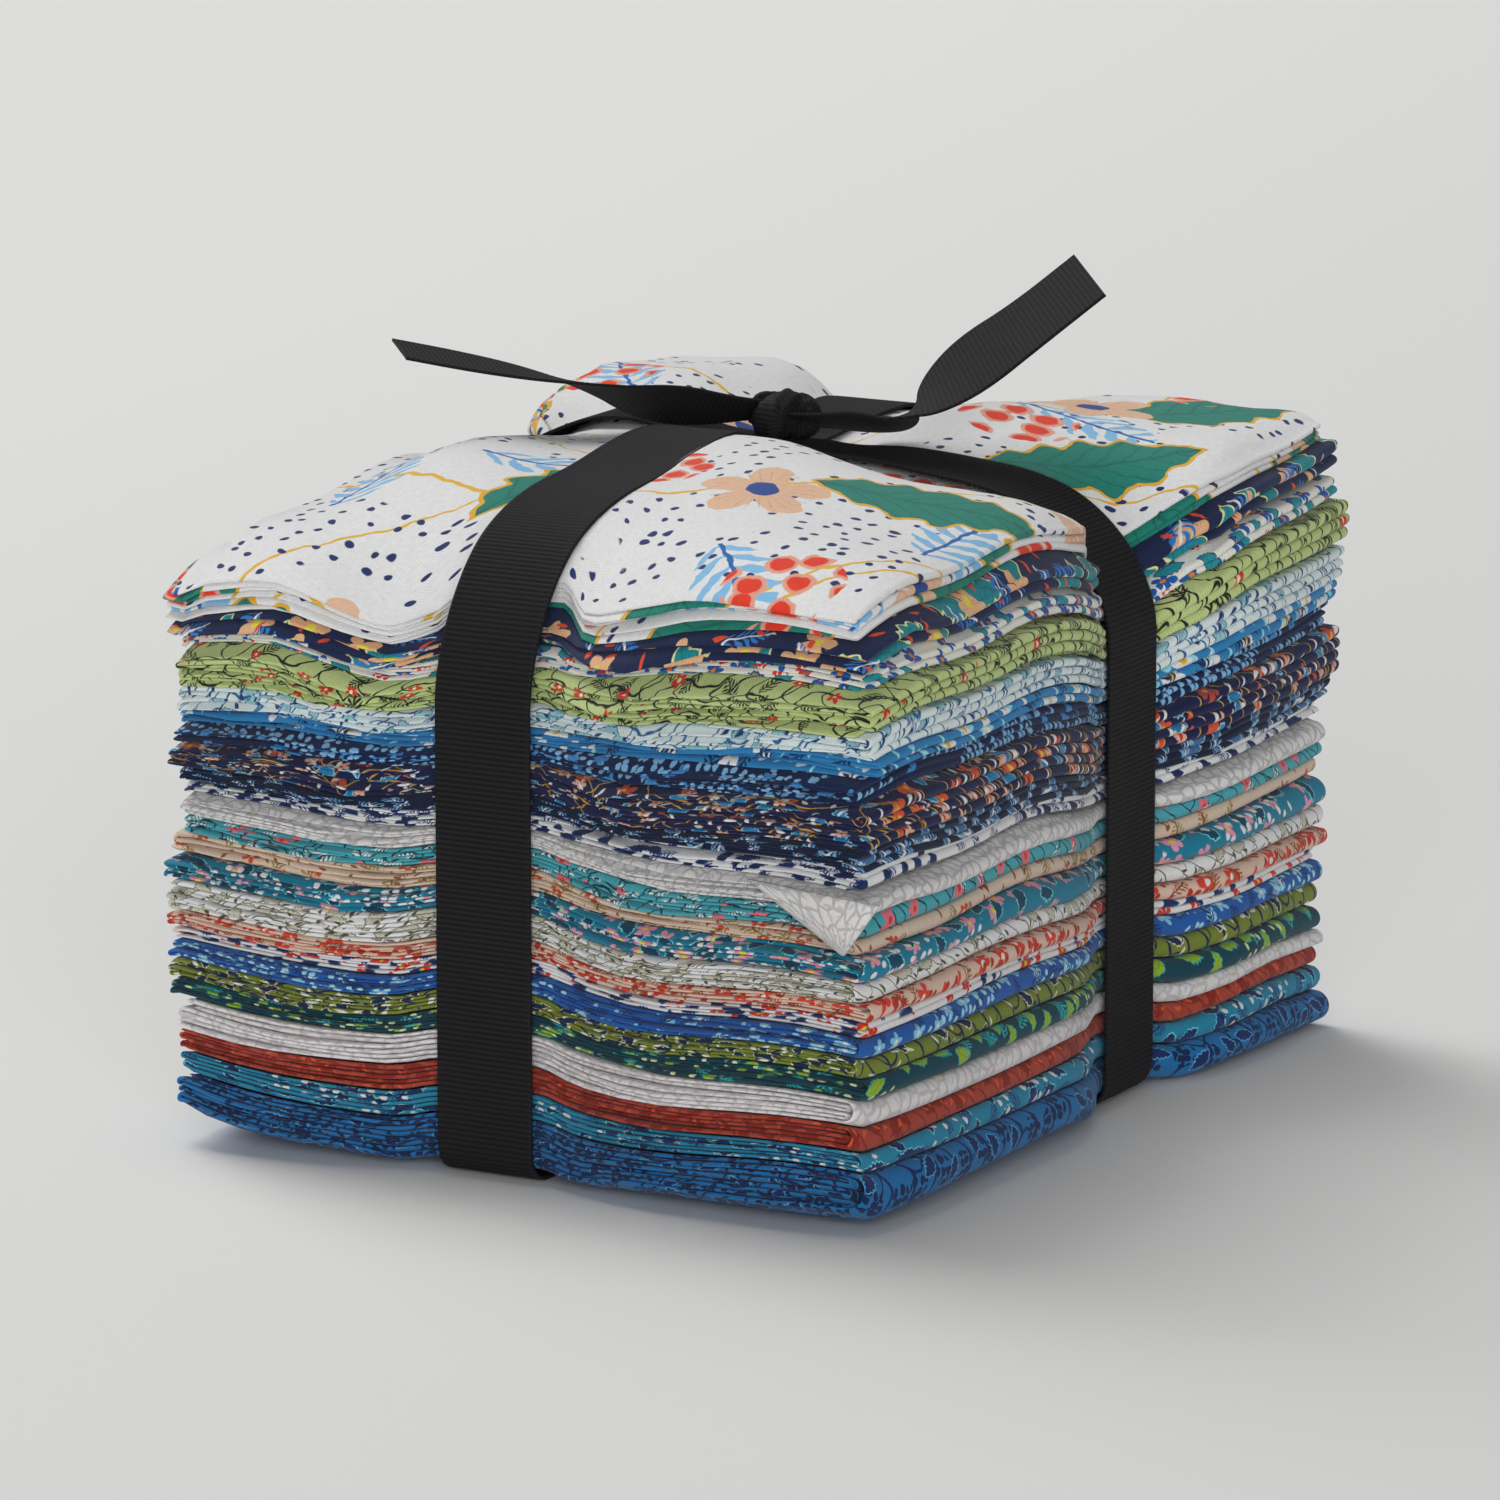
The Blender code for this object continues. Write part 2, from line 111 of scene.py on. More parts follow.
PRINTS = (
    CottonPrint("white_large_floral", dye("f5f5f5"), (
        Motif(V, dye("f5c139"), 1.1, 66),
        Motif(D, dye("24326d"), 0.8, 5.0, share=0.6),
        Motif(S, dye("1d6dbf"), 30, 57, dye("90cbf5"), 0.9),
        Motif(L, dye("1c8a79"), 42, 60, dye("f5bb33")),
        Motif(F, dye("f5c8a6"), 24, 56, dye("2a4d9a"), 0.85),
        Motif(B, dye("f54023"), 21, 54, dye("f5ae96"), 0.8),
    )),
    CottonPrint("navy_large_floral", dye("18264f"), (
        Motif(L, dye("17939c"), 13, 17.3, dye("f5f5af")),
        Motif(F, dye("f5be8f"), 7.8, 14.9, dye("f5e84d")),
        Motif(S, dye("f5f5f5"), 9.4, 16.3, dye("2b82d5")),
        Motif(H, dye("f5532d"), 2, 6.5, share=0.6),
    )),
    CottonPrint("cream_small_floral", dye("f5f5eb"), (
        Motif(F, dye("1e61b5"), 3.9, 6.7, dye("f58d1c")),
        Motif(L, dye("27a3b3"), 4.7, 8.2, dye("1b356f"), 0.8),
        Motif(B, dye("f53f1f"), 3.5, 9.1),
    )),
    CottonPrint("sage_green_stems", dye("cadb92"), (
        Motif(V, dye("1d211c"), 0.55, 4.8),
        Motif(S, dye("222920"), 5.5, 7.2),
        Motif(F, dye("e83d22"), 2.7, 11.5, dye("f5f5d6"), 0.8),
    )),
    CottonPrint("pale_aqua_line", dye("e9f5f5"), (
        Motif(V, dye("1f70ac"), 0.45, 5.8),
        Motif(L, dye("a5dae4"), 5.5, 8.2, dye("1d5e9e")),
        Motif(H, dye("19477f"), 1.4, 4.4),
    )),
    CottonPrint("mid_blue_floral", dye("2f8ac6"), (
        Motif(F, dye("f5f5f5"), 5.5, 9.1, dye("f5c130")),
        Motif(S, dye("0e3060"), 7, 9.6),
        Motif(H, dye("a3eaf5"), 1.6, 4.4),
    )),
    CottonPrint("navy_blue_dots", dye("102552"), (
        Motif(D, dye("90caf5"), 0.64, 2.0, share=0.8),
        Motif(F, dye("4295db"), 3.3, 9.1, share=0.6),
    )),
    CottonPrint("purple_navy_floral", dye("17204f"), (
        Motif(F, dye("eb5e39"), 4.6, 7.4, dye("f5ce54"), 0.55),
        Motif(L, dye("228fc8"), 5.0, 8.0, dye("addff5"), 0.7),
        Motif(F, dye("f5c1a5"), 3.0, 6.4, dye("cf3b29"), 0.6),
        Motif(V, dye("d5a644"), 0.40, 9.0),
        Motif(H, dye("f5f5f5"), 1.6, 4.4),
    )),
    CottonPrint("dark_navy_leaves", dye("0f2040"), (
        Motif(S, dye("f5f5f5"), 6.2, 7.2, dye("7db6e9")),
        Motif(L, dye("4b7aab"), 4.7, 7.7, dye("b3dcf5"), 0.8),
    )),
    CottonPrint("white_navy_leaves", dye("f5f5f5"), (
        Motif(L, dye("152c60"), 4.7, 6.2, dye("2a4e93")),
        Motif(S, dye("1d3d82"), 5.5, 8.2),
    )),
    CottonPrint("grey_tonal", dye("f1efee"), (
        Motif(C, dye("cac7c6"), 0.32, 2.8),
        Motif(H, dye("d6d3d1"), 1.4, 2.7),
    )),
    CottonPrint("aqua_line", dye("4db2c0"), (
        Motif(V, dye("0e3743"), 0.5, 4.8),
        Motif(F, dye("f57888"), 3.9, 8.2, dye("e02e23")),
        Motif(S, dye("0b2d3b"), 6.2, 9.1, dye("eef5f5")),
    )),
    CottonPrint("peach_beige", dye("e7cfba"), (
        Motif(S, dye("80692e"), 7, 8.2, dye("b19248")),
        Motif(F, dye("e04e2c"), 3.6, 8.6, dye("f5f5e6")),
        Motif(H, dye("96562e"), 1.4, 4.9),
    )),
    CottonPrint("teal_floral", dye("1286a6"), (
        Motif(F, dye("f5a4be"), 4.2, 7.2, dye("f5ed31")),
        Motif(L, dye("004d6f"), 5.5, 8.2, dye("8eeef5")),
        Motif(D, dye("f5f5f5"), 0.68, 2.9, share=0.7),
    )),
    CottonPrint("white_olive_line", dye("f5f5f5"), (
        Motif(V, dye("757358"), 0.45, 5.3),
        Motif(L, dye("dfddc8"), 5.5, 7.7, dye("6b6a4b")),
        Motif(H, dye("54533a"), 1.4, 4.4),
    )),
    CottonPrint("peach_red_floral", dye("ecccb8"), (
        Motif(F, dye("ef472c"), 4.7, 7.2, dye("f5f5ea")),
        Motif(S, dye("824025"), 5.5, 8.2, dye("b36331")),
        Motif(D, dye("c1321f"), 0.68, 3.0, share=0.6),
    )),
    CottonPrint("white_red_navy", dye("f5f5f5"), (
        Motif(F, dye("e83728"), 3.9, 6.7, dye("f5d744")),
        Motif(L, dye("1c3470"), 4.3, 7.2, dye("4772b5")),
    )),
    CottonPrint("royal_blue", dye("2063b8"), (
        Motif(F, dye("90d4f5"), 3.6, 6.2, dye("f5f5f5")),
        Motif(S, dye("083475"), 5.5, 7.7),
        Motif(D, dye("b2e9f5"), 0.59, 2.6, share=0.6),
    )),
    CottonPrint("olive_stems", dye("83912f"), (
        Motif(V, dye("16294c"), 0.7, 5.3),
        Motif(L, dye("183059"), 4.7, 7.7, dye("f5f5c8")),
        Motif(H, dye("f5f5e4"), 1.6, 4.4),
    )),
    CottonPrint("dark_teal_leaves", dye("024657"), (
        Motif(L, dye("a4cd35"), 5.5, 7.2, dye("21afaf")),
        Motif(S, dye("2dbcc0"), 6.2, 8.2),
        Motif(D, dye("e9f5be"), 0.59, 3.1, share=0.5),
    )),
    CottonPrint("light_grey_tonal", dye("f5f1f2"), (
        Motif(C, dye("d8d2d3"), 0.36, 3.6),
        Motif(H, dye("e1dcdc"), 1.4, 2.7),
    )),
    CottonPrint("rust_tonal", dye("ba4834"), (
        Motif(L, dye("a32814"), 4.7, 6.2, dye("962311")),
        Motif(H, dye("ec5d30"), 1.5, 3.3),
        Motif(V, dye("952412"), 0.5, 4.8),
    )),
    CottonPrint("turquoise_leaves", dye("2393b8"), (
        Motif(L, dye("0c3371"), 6.2, 7.2, dye("8ee9f5")),
        Motif(S, dye("07295c"), 6.2, 8.6, dye("0f4790")),
        Motif(D, dye("eef5f5"), 0.68, 3.5, share=0.5),
    )),
    CottonPrint("blue_berries", dye("1c78ba"), (
        Motif(V, dye("0a2d64"), 0.8, 6.9),
        Motif(B, dye("0d295f"), 5.5, 7.2, dye("092049")),
        Motif(L, dye("083375"), 5.5, 8.6, dye("67bff5"), 0.8),
    )),
)


@dataclass(frozen=True)
class Quarter:
    """One fat quarter's place in the stack. Sizes are in millimetres."""

    left: float
    near: float
    far: float
    fold: Fold
    passes: int
    front: float
    right: float
    out: float
    fan: float = 2.4


Z, W = Fold.ZIGZAG, Fold.WRAP

# From the top of the stack down, in the order of PRINTS
QUARTERS = (
    Quarter(8.5, 7.0, 6.0, Z, 6, -2.5, -2.5, 6.0, 5.0),
    Quarter(3.4, 5.6, 7.5, Z, 5, -1.0, 1.0, 4.5, 5.0),
    Quarter(3.2, 4.4, 6.6, Z, 5, -2.0, 1.5, 2.5, 5.0),
    Quarter(7.0, 7.2, 9.8, Z, 7, 1.5, 3.0, 1.0, 5.0),
    Quarter(6.2, 5.8, 7.2, Z, 6, 0.0, 2.5, 2.5, 5.0),
    Quarter(3.3, 4.4, 5.6, Z, 5, -1.5, 3.0, 2.5, 3.4),
    Quarter(4.0, 5.4, 5.6, Z, 6, 1.0, 0.0, 3.0, 3.4),
    Quarter(5.4, 8.8, 10.5, Z, 8, 2.0, 2.5, 3.2, 3.4),
    Quarter(3.9, 5.4, 5.0, Z, 6, 0.5, 1.0, 2.2, 3.4),
    Quarter(3.4, 5.4, 5.6, Z, 5, -2.0, -0.5, 1.7),
    Quarter(4.3, 3.7, 4.8, W, 5, 1.5, 1.5, 1.2),
    Quarter(4.6, 5.0, 3.9, W, 5, 0.5, 0.0, 0.8),
    Quarter(5.8, 4.0, 3.8, W, 5, -0.5, -1.0, 4.5),
    Quarter(5.0, 4.8, 6.4, W, 5, 1.0, 1.5, 5.0),
    Quarter(7.6, 4.4, 4.5, W, 6, 2.0, 0.5, 4.5),
    Quarter(3.8, 4.2, 3.6, W, 5, 0.0, 2.0, 5.0),
    Quarter(3.3, 3.4, 3.3, Z, 4, -1.5, -0.5, 5.0),
    Quarter(4.1, 4.3, 5.2, W, 5, 0.5, 1.0, 5.2),
    Quarter(4.6, 4.2, 5.4, W, 5, 1.0, 0.0, 5.0),
    Quarter(3.9, 4.6, 5.6, W, 5, -0.5, 1.5, 5.2),
    Quarter(7.2, 6.0, 4.1, W, 6, 2.0, 0.5, 2.0),
    Quarter(6.0, 5.0, 4.4, W, 5, 0.5, -0.5, 2.5),
    Quarter(5.4, 4.8, 5.5, W, 5, 0.0, 1.0, 2.5),
    Quarter(8.8, 10.0, 7.6, W, 8, 1.0, 2.5, 3.0),
)


class Ripple:
    """A smooth unevenness over a plane: a few long waves, the same in each run."""

    def __init__(self, seed: int, length: float, waves: int = 4) -> None:
        """Choose the waves.

        Args:
            seed: Names the unevenness.
            length: The usual distance between its crests.
            waves: How many waves are laid over each other.
        """
        rng = np.random.default_rng(seed)
        turn = rng.uniform(0, math.pi, waves)
        number = 2 * math.pi / (length * rng.uniform(0.6, 1.7, waves))
        self.along_x = number * np.cos(turn)
        self.along_y = number * np.sin(turn)
        self.phase = rng.uniform(0, 2 * math.pi, waves)

    def __call__(self, x: np.ndarray, y: np.ndarray) -> np.ndarray:
        """Its height at each place, mostly between -1 and 1."""
        total = 0
        for a, b, c in zip(self.along_x, self.along_y, self.phase):
            total = total + np.sin(a * x + b * y + c)
        return total / math.sqrt(2 * len(self.phase))


def smooth(t: np.ndarray) -> np.ndarray:
    """Ease from 0 to 1 as t does, flat at both ends."""
    t = np.clip(t, 0, 1)
    return t * t * (3 - 2 * t)


@dataclass(frozen=True)
class Rim:
    """How a band rounds one upper edge of the stack. Pulls are in millimetres, from the top down."""

    start: float
    drop: float
    deepest: float
    sink: float
    pulls: tuple[float, ...]
    spread: float = 0.014

    def rounding(self, distance: np.ndarray, wall: float) -> np.ndarray:
        """How far the band has dropped at a distance from the middle, on its way to the wall."""
        t = np.clip((distance - self.start) / (wall - self.start), 0, 1)
        return self.drop * (1 - np.sqrt(1 - t * t))

    def pull(self, index: int) -> float:
        """How much further a quarter is drawn in under the band here than those below."""
        return self.pulls[index] if index < len(self.pulls) else 0.0


@dataclass
class Stack:
    """The whole stack: the heights that the quarters share, and how the ribbon pulls them in."""

    width: float = 0.160
    depth: float = 0.208
    gap: float = 0.0003
    dome: float = 0.009
    crown: float = 0.0045
    droop: float = 0.0018
    droop_start: float = 0.91
    lower_rounding: float = 0.0034
    curl_reach: float = 0.030
    corner_left: tuple[float, float] = (0.0010, 0.0020)
    corner_right: tuple[float, float] = (0.0036, 0.0006)
    tie_x: float = -0.0105
    tie_y: float = 0.021
    tie_width: float = 0.022
    tie_spread: float = 0.030
    knot_dip: float = 0.0015
    side_pull: float = 0.006
    front: Rim = Rim(0.053, 0.031, 0.0130, 0.0015, (10.6, 6.4, 3.8, 2.0, 0.6), 0.042)
    back: Rim = Rim(0.062, 0.022, 0.0080, 0.0108, (6.7, 2.3, 0.8), 0.024)
    left: Rim = Rim(0.057, 0.014, 0.0040, 0.0025, (5.0, 1.5, 0.3))
    right: Rim = Rim(0.040, 0.026, 0.0090, 0.0065, (8.5, 4.4, 2.4, 0.6))
    recess: float = 0.0021
    fullness: float = 1.06
    unevenness: float = 0.10
    ripples: list[Ripple] = field(default_factory=list)

    def __post_init__(self) -> None:
        """Give each quarter its own unevenness."""
        self.ripples = [Ripple(40 + i, 0.075, 3) for i in range(len(QUARTERS))]

    def thickness(self, index: int, x: np.ndarray, y: np.ndarray) -> np.ndarray:
        """One quarter's thickness in millimetres, before the ribbon pulls the stack in.

        Args:
            index: The quarter, counted from the top.
            x: Places across the folds.
            y: Places along the folds.

        Returns:
            The thickness at each place.
        """
        row = QUARTERS[index]
        u = x / self.width + 0.5
        v = y / self.depth + 0.5
        back_left = (row.left + row.far) / 2 * self.fullness
        front = row.left + (row.near - row.left) * u
        back = back_left + (row.far - back_left) * u
        return (front + (back - front) * v) * (1 + self.unevenness * self.ripples[index](x, y))

    def beside(self, distance: np.ndarray) -> np.ndarray:
        """1 under a band, easing to 0 some way beside it."""
        t = (np.abs(distance) - self.tie_width / 2) / self.tie_spread
        return 1 - 0.5 * smooth(t) - 0.5 * np.clip(t, 0, 1)

    def near(self, distance: np.ndarray, spread: float = 0.014) -> np.ndarray:
        """1 under a band, easing to 0 within a spread beside it."""
        return 1 - smooth((np.abs(distance) - self.tie_width / 2) / spread)

    def tied(self, x: np.ndarray, y: np.ndarray) -> np.ndarray:
        """1 under either band of the ribbon, easing to 0 beside it."""
        return np.maximum(self.beside(x - self.tie_x), self.beside(y - self.tie_y))

    def floor(self, x: np.ndarray, y: np.ndarray) -> np.ndarray:
        """The underside: on the floor, up over the ribbon, rounded at the edges and curled at the corners."""
        half_x, half_y = self.width / 2, self.depth / 2
        corners = ((-1, -1, 5.5), (1, -1, 1.5), (1, 1, -2.5), (-1, 1, 2.0))
        near_x = np.abs(x - self.tie_x) - self.tie_width / 2
        near_y = np.abs(y - self.tie_y) - self.tie_width / 2
        height = self.recess * (1 - smooth(np.minimum(near_x, near_y) / 0.012))
        out = np.maximum(np.abs(x / half_x), np.abs(y / half_y))
        flat = 0.8 * smooth(x / 0.04) * smooth((y + 0.02) / 0.06)
        height = height + self.lower_rounding * (1 - flat) * np.clip((out - 0.86) / 0.14, 0, 1.05) ** 2
        for side_x, side_y, lift in corners:
            away = np.hypot(x - side_x * half_x, y - side_y * half_y) / self.curl_reach
            height = height + 0.8 * lift * MM * np.clip(1 - away, 0, 1) ** 2
        return np.maximum(height, 0.0)

    def sink(self, x: np.ndarray, y: np.ndarray) -> np.ndarray:
        """How deep the bands press into the upper side, most under the knot and on the right."""
        to_back = smooth((y - self.tie_y) / 0.04 + 0.5)
        to_right = smooth((x - self.tie_x) / 0.04 + 0.5)
        along = self.front.sink + (self.back.sink - self.front.sink) * to_back
        across = self.left.sink + (self.right.sink - self.left.sink) * to_right
        dip = self.knot_dip * np.exp(-((x - self.tie_x) ** 2 + (y - self.tie_y) ** 2) / 0.022 ** 2)
        return np.maximum(self.beside(x - self.tie_x) * along, self.beside(y - self.tie_y) * across) + dip

    def top(self, x: np.ndarray, y: np.ndarray) -> np.ndarray:
        """The upper side: puffed between the bands, crowned in front and steep on the left."""
        half_x, half_y = self.width / 2, self.depth / 2
        u = np.clip(x / self.width + 0.5, 0, 1)
        v = np.clip(y / self.depth + 0.5, 0, 1)
        steep = 0.25 + 0.17 * smooth((x + 0.02) / 0.06)
        puff = np.sin(math.pi * u) ** steep * np.sin(math.pi * v) ** 0.42
        whole = sum(self.thickness(i, x, y) for i in range(len(QUARTERS))) * MM
        dome = self.dome + self.crown * smooth((0.02 - y) / 0.06)
        height = whole + dome * puff - self.sink(x, y)
        for side_x, side_y, lower in ((-1, -1, 4.0), (1, -1, 3.0), (1, 1, 1.0), (-1, 1, 2.0)):
            away = np.hypot(x - side_x * half_x, y - side_y * half_y) / 0.028
            height = height - lower * MM * np.clip(1 - away, 0, 1) ** 2
        valley = smooth((x - 0.012) / 0.040) * np.exp(-((y - self.tie_y + 0.008) / 0.042) ** 2)
        shoulder = smooth((-x - 0.045) / 0.025) * (1 - 0.4 * smooth((-x - 0.070) / 0.010))
        slack = 0.0015 + 0.0068 * np.exp(-((y + 0.012) / 0.045) ** 2)
        far = smooth(x / 0.035) * smooth((y - 0.040) / 0.035) * (1 - smooth((x - 0.060) / 0.020))
        height = height - 0.0064 * valley - 0.0035 * far - slack * shoulder
        return height - 0.0030 * smooth((-y - 0.078) / 0.028)

    def fall(self, x: np.ndarray, y: np.ndarray) -> np.ndarray:
        """How far the cloth gives way under a band that turns down over an edge."""
        wall_x, wall_y = self.width / 2 - self.side_pull, self.depth / 2 - self.side_pull
        sides = []
        for rim, distance, wall, from_band in (
            (self.front, -y, wall_y, x - self.tie_x),
            (self.back, y, wall_y, x - self.tie_x),
            (self.left, -x, wall_x, y - self.tie_y),
            (self.right, x, wall_x, y - self.tie_y),
        ):
            fall = np.minimum(rim.rounding(distance, wall), rim.deepest)
            sides.append(fall * self.near(from_band, rim.spread))
        return np.maximum.reduce(sides)

    def level(self, count: int, x: np.ndarray, y: np.ndarray) -> np.ndarray:
        """Height of the boundary above the lowest count quarters."""
        total = len(QUARTERS)
        parts = [self.thickness(i, x, y) for i in range(total)]
        below = sum(parts[total - count:]) if count else 0
        floor = self.floor(x, y)
        share = below / sum(parts)
        return floor + share * (self.top(x, y) - floor) - share ** 3 * self.fall(x, y)

    def held(self, stand_out: np.ndarray, distance: np.ndarray, pull: float) -> np.ndarray:
        """How far a side stands out in metres, which is little under the band.

        Args:
            stand_out: Its own distance in millimetres.
            distance: How far each place lies from the middle of the band.
            pull: How much further this quarter is drawn in under the band, in millimetres.

        Returns:
            The distances.
        """
        t = np.clip((np.abs(distance) - self.tie_width / 2) / (self.tie_spread / 2), 0, 1)
        out = stand_out * MM * (0.15 + 0.85 * t) - self.side_pull * self.beside(distance)
        return out - pull * MM * self.near(distance)

    def rounded(self, t: np.ndarray, low: float, high: float) -> np.ndarray:
        """How far a side is drawn in towards its two corners.

        Args:
            t: From -1 to 1 along the side.
            low: How far it is drawn in at -1.
            high: How far it is drawn in at 1.

        Returns:
            The distances.
        """
        return np.where(t < 0, low, high) * np.clip((np.abs(t) - 0.7) / 0.3, 0, 1.1) ** 2

    def edge_droop(self, x: np.ndarray, y: np.ndarray) -> np.ndarray:
        """How far the upper side bends down towards its edges, less under the ribbon."""
        out = np.maximum(np.abs(2 * x / self.width), np.abs(2 * y / self.depth))
        share = np.clip((out - self.droop_start) / (1 - self.droop_start), 0, 1.05) ** 2
        return self.droop * share * (1 - 0.5 * self.tied(x, y))


STACK = Stack()


@dataclass(frozen=True)
class Run:
    """A stretch of the folded cloth along one pass, towards one side."""

    number: int
    side: int
    start: float | None = None
    stop: float | None = None


@dataclass(frozen=True)
class Turn:
    """A fold that joins two passes at one side, or inside the large fold."""

    first: int
    second: int
    side: int
    inside: bool = False


@dataclass
class FoldedQuarter:
    """One quarter: a sheet folded double, then to and fro to the width of the stack."""

    index: int
    flat_width: float = 0.457
    flat_length: float = 0.559
    fill: float = 0.90
    slit: float = 0.00004
    nose: float = 1.1
    wobble: float = 1.2
    step_x: float = 0.0098
    step_y: float = 0.0098
    ripples: list[Ripple] = field(default_factory=list)

    def __post_init__(self) -> None:
        """Take the row of this quarter, and its own unevenness."""
        self.row = QUARTERS[self.index]
        self.finish = PRINTS[self.index]
        self.name = f"quarter_{self.index + 1:02d}"
        self.above = len(QUARTERS) - self.index
        self.sealed = self.row.passes > 5
        outermost = self.index in (0, len(QUARTERS) - 1)
        if outermost:
            self.step_x, self.step_y = 0.0055, 0.0060
        base = 200 + 20 * self.index
        self.share_ripples = [Ripple(base + k, 0.045, 3) for k in range(self.row.passes)]
        self.front_ripples = [Ripple(base + 8 + k, 0.050, 4) for k in range(self.row.passes)]
        self.rng = np.random.default_rng(base)
        self.offsets = self.rng.uniform(-0.9, 0.9, self.row.passes)
        self.left_in = self.rng.uniform(0.5, 3.2, self.row.passes) * MM

    def span(self, x: np.ndarray, y: np.ndarray) -> tuple[np.ndarray, np.ndarray]:
        """The quarter's own lowest and highest points.

        Args:
            x: Places across the folds.
            y: Places along the folds.

        Returns:
            The heights of its underside and of its upper side.
        """
        low = STACK.level(self.above - 1, x, y)
        high = STACK.level(self.above, x, y)
        droop = STACK.edge_droop(x, y)
        if self.index == 0:
            high = high - droop
        else:
            high = high - STACK.gap / 2
        if self.above == 1:
            low = low + 0.5 * droop
        else:
            low = low + STACK.gap / 2
        return low, np.maximum(high, low + 0.002)

    def layer(self, number: int, x: np.ndarray, y: np.ndarray) -> tuple[np.ndarray, np.ndarray]:
        """The middle height of a pass and its thickness, with passes counted from the top."""
        low, high = self.span(x, y)
        loose = 0.20 + 0.22 * smooth((-x - 0.045) / 0.035)
        shares = [np.clip(1 + loose * r(x, y), 0.45, 1.8) for r in self.share_ripples]
        total = sum(shares)
        above = sum(shares[:number]) if number else 0
        top = high - (high - low) * above / total
        thick = (high - low) * shares[number] / total
        return top - thick / 2, thick * self.fill

    def end_y(self, number: int, x: np.ndarray, front: bool) -> np.ndarray:
        """The y where a pass ends at x, on the front or on the back of the stack."""
        wobble = self.wobble * self.front_ripples[number](x, np.full_like(x, 1.0 if front else 3.0))
        stand_out = self.row.front if front else 0.6 * self.row.front - 0.5
        stand_out = stand_out + wobble + self.offsets[number]
        rim = STACK.front if front else STACK.back
        y = STACK.depth / 2 + STACK.held(stand_out, x - STACK.tie_x, rim.pull(self.index))
        corner = 0 if front else 1
        y = y - STACK.rounded(2 * x / STACK.width, STACK.corner_left[corner], STACK.corner_right[corner])
        return -y if front else y

    def edges(self, y: np.ndarray) -> tuple[np.ndarray, np.ndarray]:
        """The x of the left and of the right side at y."""
        t = 2 * y / STACK.depth
        uneven = 0.7 * self.front_ripples[0](y, np.full_like(y, 5.0))
        beyond = y - STACK.tie_y
        fan = self.row.fan * np.clip(y / STACK.depth + 0.5, 0, 1)
        right = STACK.held(self.row.right + fan + 0.5 * uneven, beyond, STACK.right.pull(self.index))
        left = STACK.held(self.row.out + uneven, beyond, STACK.left.pull(self.index))
        left, right = -STACK.width / 2 - left, STACK.width / 2 + right
        return left + STACK.rounded(t, *STACK.corner_left), right - STACK.rounded(t, *STACK.corner_right)

    def route(self) -> list[Run | Turn]:
        """The runs and turns of this fold, from one end of the cloth to the other."""
        last = self.row.passes - 1
        if self.row.fold is Fold.WRAP:
            parts: list[Run | Turn] = [Run(0, 1, start=self.left_in[0]), Turn(0, last, 1)]
            side = -1
            for number in range(last, 1, -1):
                inner_end = side > 0
                parts += [Run(number, side), Turn(number, number - 1, side, inside=inner_end)]
                side = -side
            stop = self.left_in[1] + 0.002 if side < 0 else 0.0
            return parts + [Run(1, side, stop=stop)]
        parts = []
        for number in range(last + 1):
            side = 1 if number % 2 == 0 else -1
            start = self.left_in[0] if number == 0 else None
            stop = None
            if number == last:
                stop = self.left_in[last] if side < 0 else 0.003
            parts.append(Run(number, side, start, stop))
            if number < last:
                parts.append(Turn(number, number + 1, side))
        return parts

    def turn_middle(self, turn: Turn, y: np.ndarray) -> np.ndarray:
        """The x of the middle of a turn at each y."""
        left, right = self.edges(y)
        edge = right if turn.side > 0 else left
        if turn.inside:
            outer = self.turn_middle(Turn(0, self.row.passes - 1, 1), y)
            top, thick = self.layer(turn.first, outer, y)
            bottom, _ = self.layer(turn.second, outer, y)
            return outer + 0.0004 - np.abs(top - bottom) / 2
        probe = edge - turn.side * 0.002
        top, thick = self.layer(turn.first, probe, y)
        bottom, _ = self.layer(turn.second, probe, y)
        return edge - turn.side * (np.abs(top - bottom) + thick) / 2

    def stations(self, length: float, step: float, dense: tuple[float, ...], tie: float) -> np.ndarray:
        """Places from 0 to 1 along a length, closer together near its ends and near the band.

        Args:
            length: The whole length.
            step: The usual distance between places.
            dense: The distances of the first places from each end.
            tie: Where the band lies, from the middle of the length.

        Returns:
            The places.
        """
        fine = np.linspace(dense[-1], length - dense[-1], 400)
        weight = 1 + 1.6 * np.exp(-(((fine - length / 2 - tie) / 0.024) ** 4))
        count = np.concatenate([[0], np.cumsum((weight[1:] + weight[:-1]) / 2 * np.diff(fine))]) / step
        inner = np.interp(np.linspace(0, count[-1], max(3, round(count[-1]) + 1)), count, fine)
        places = [*dense[:-1], *inner, *(length - d for d in reversed(dense[:-1]))]
        return np.array(places) / length

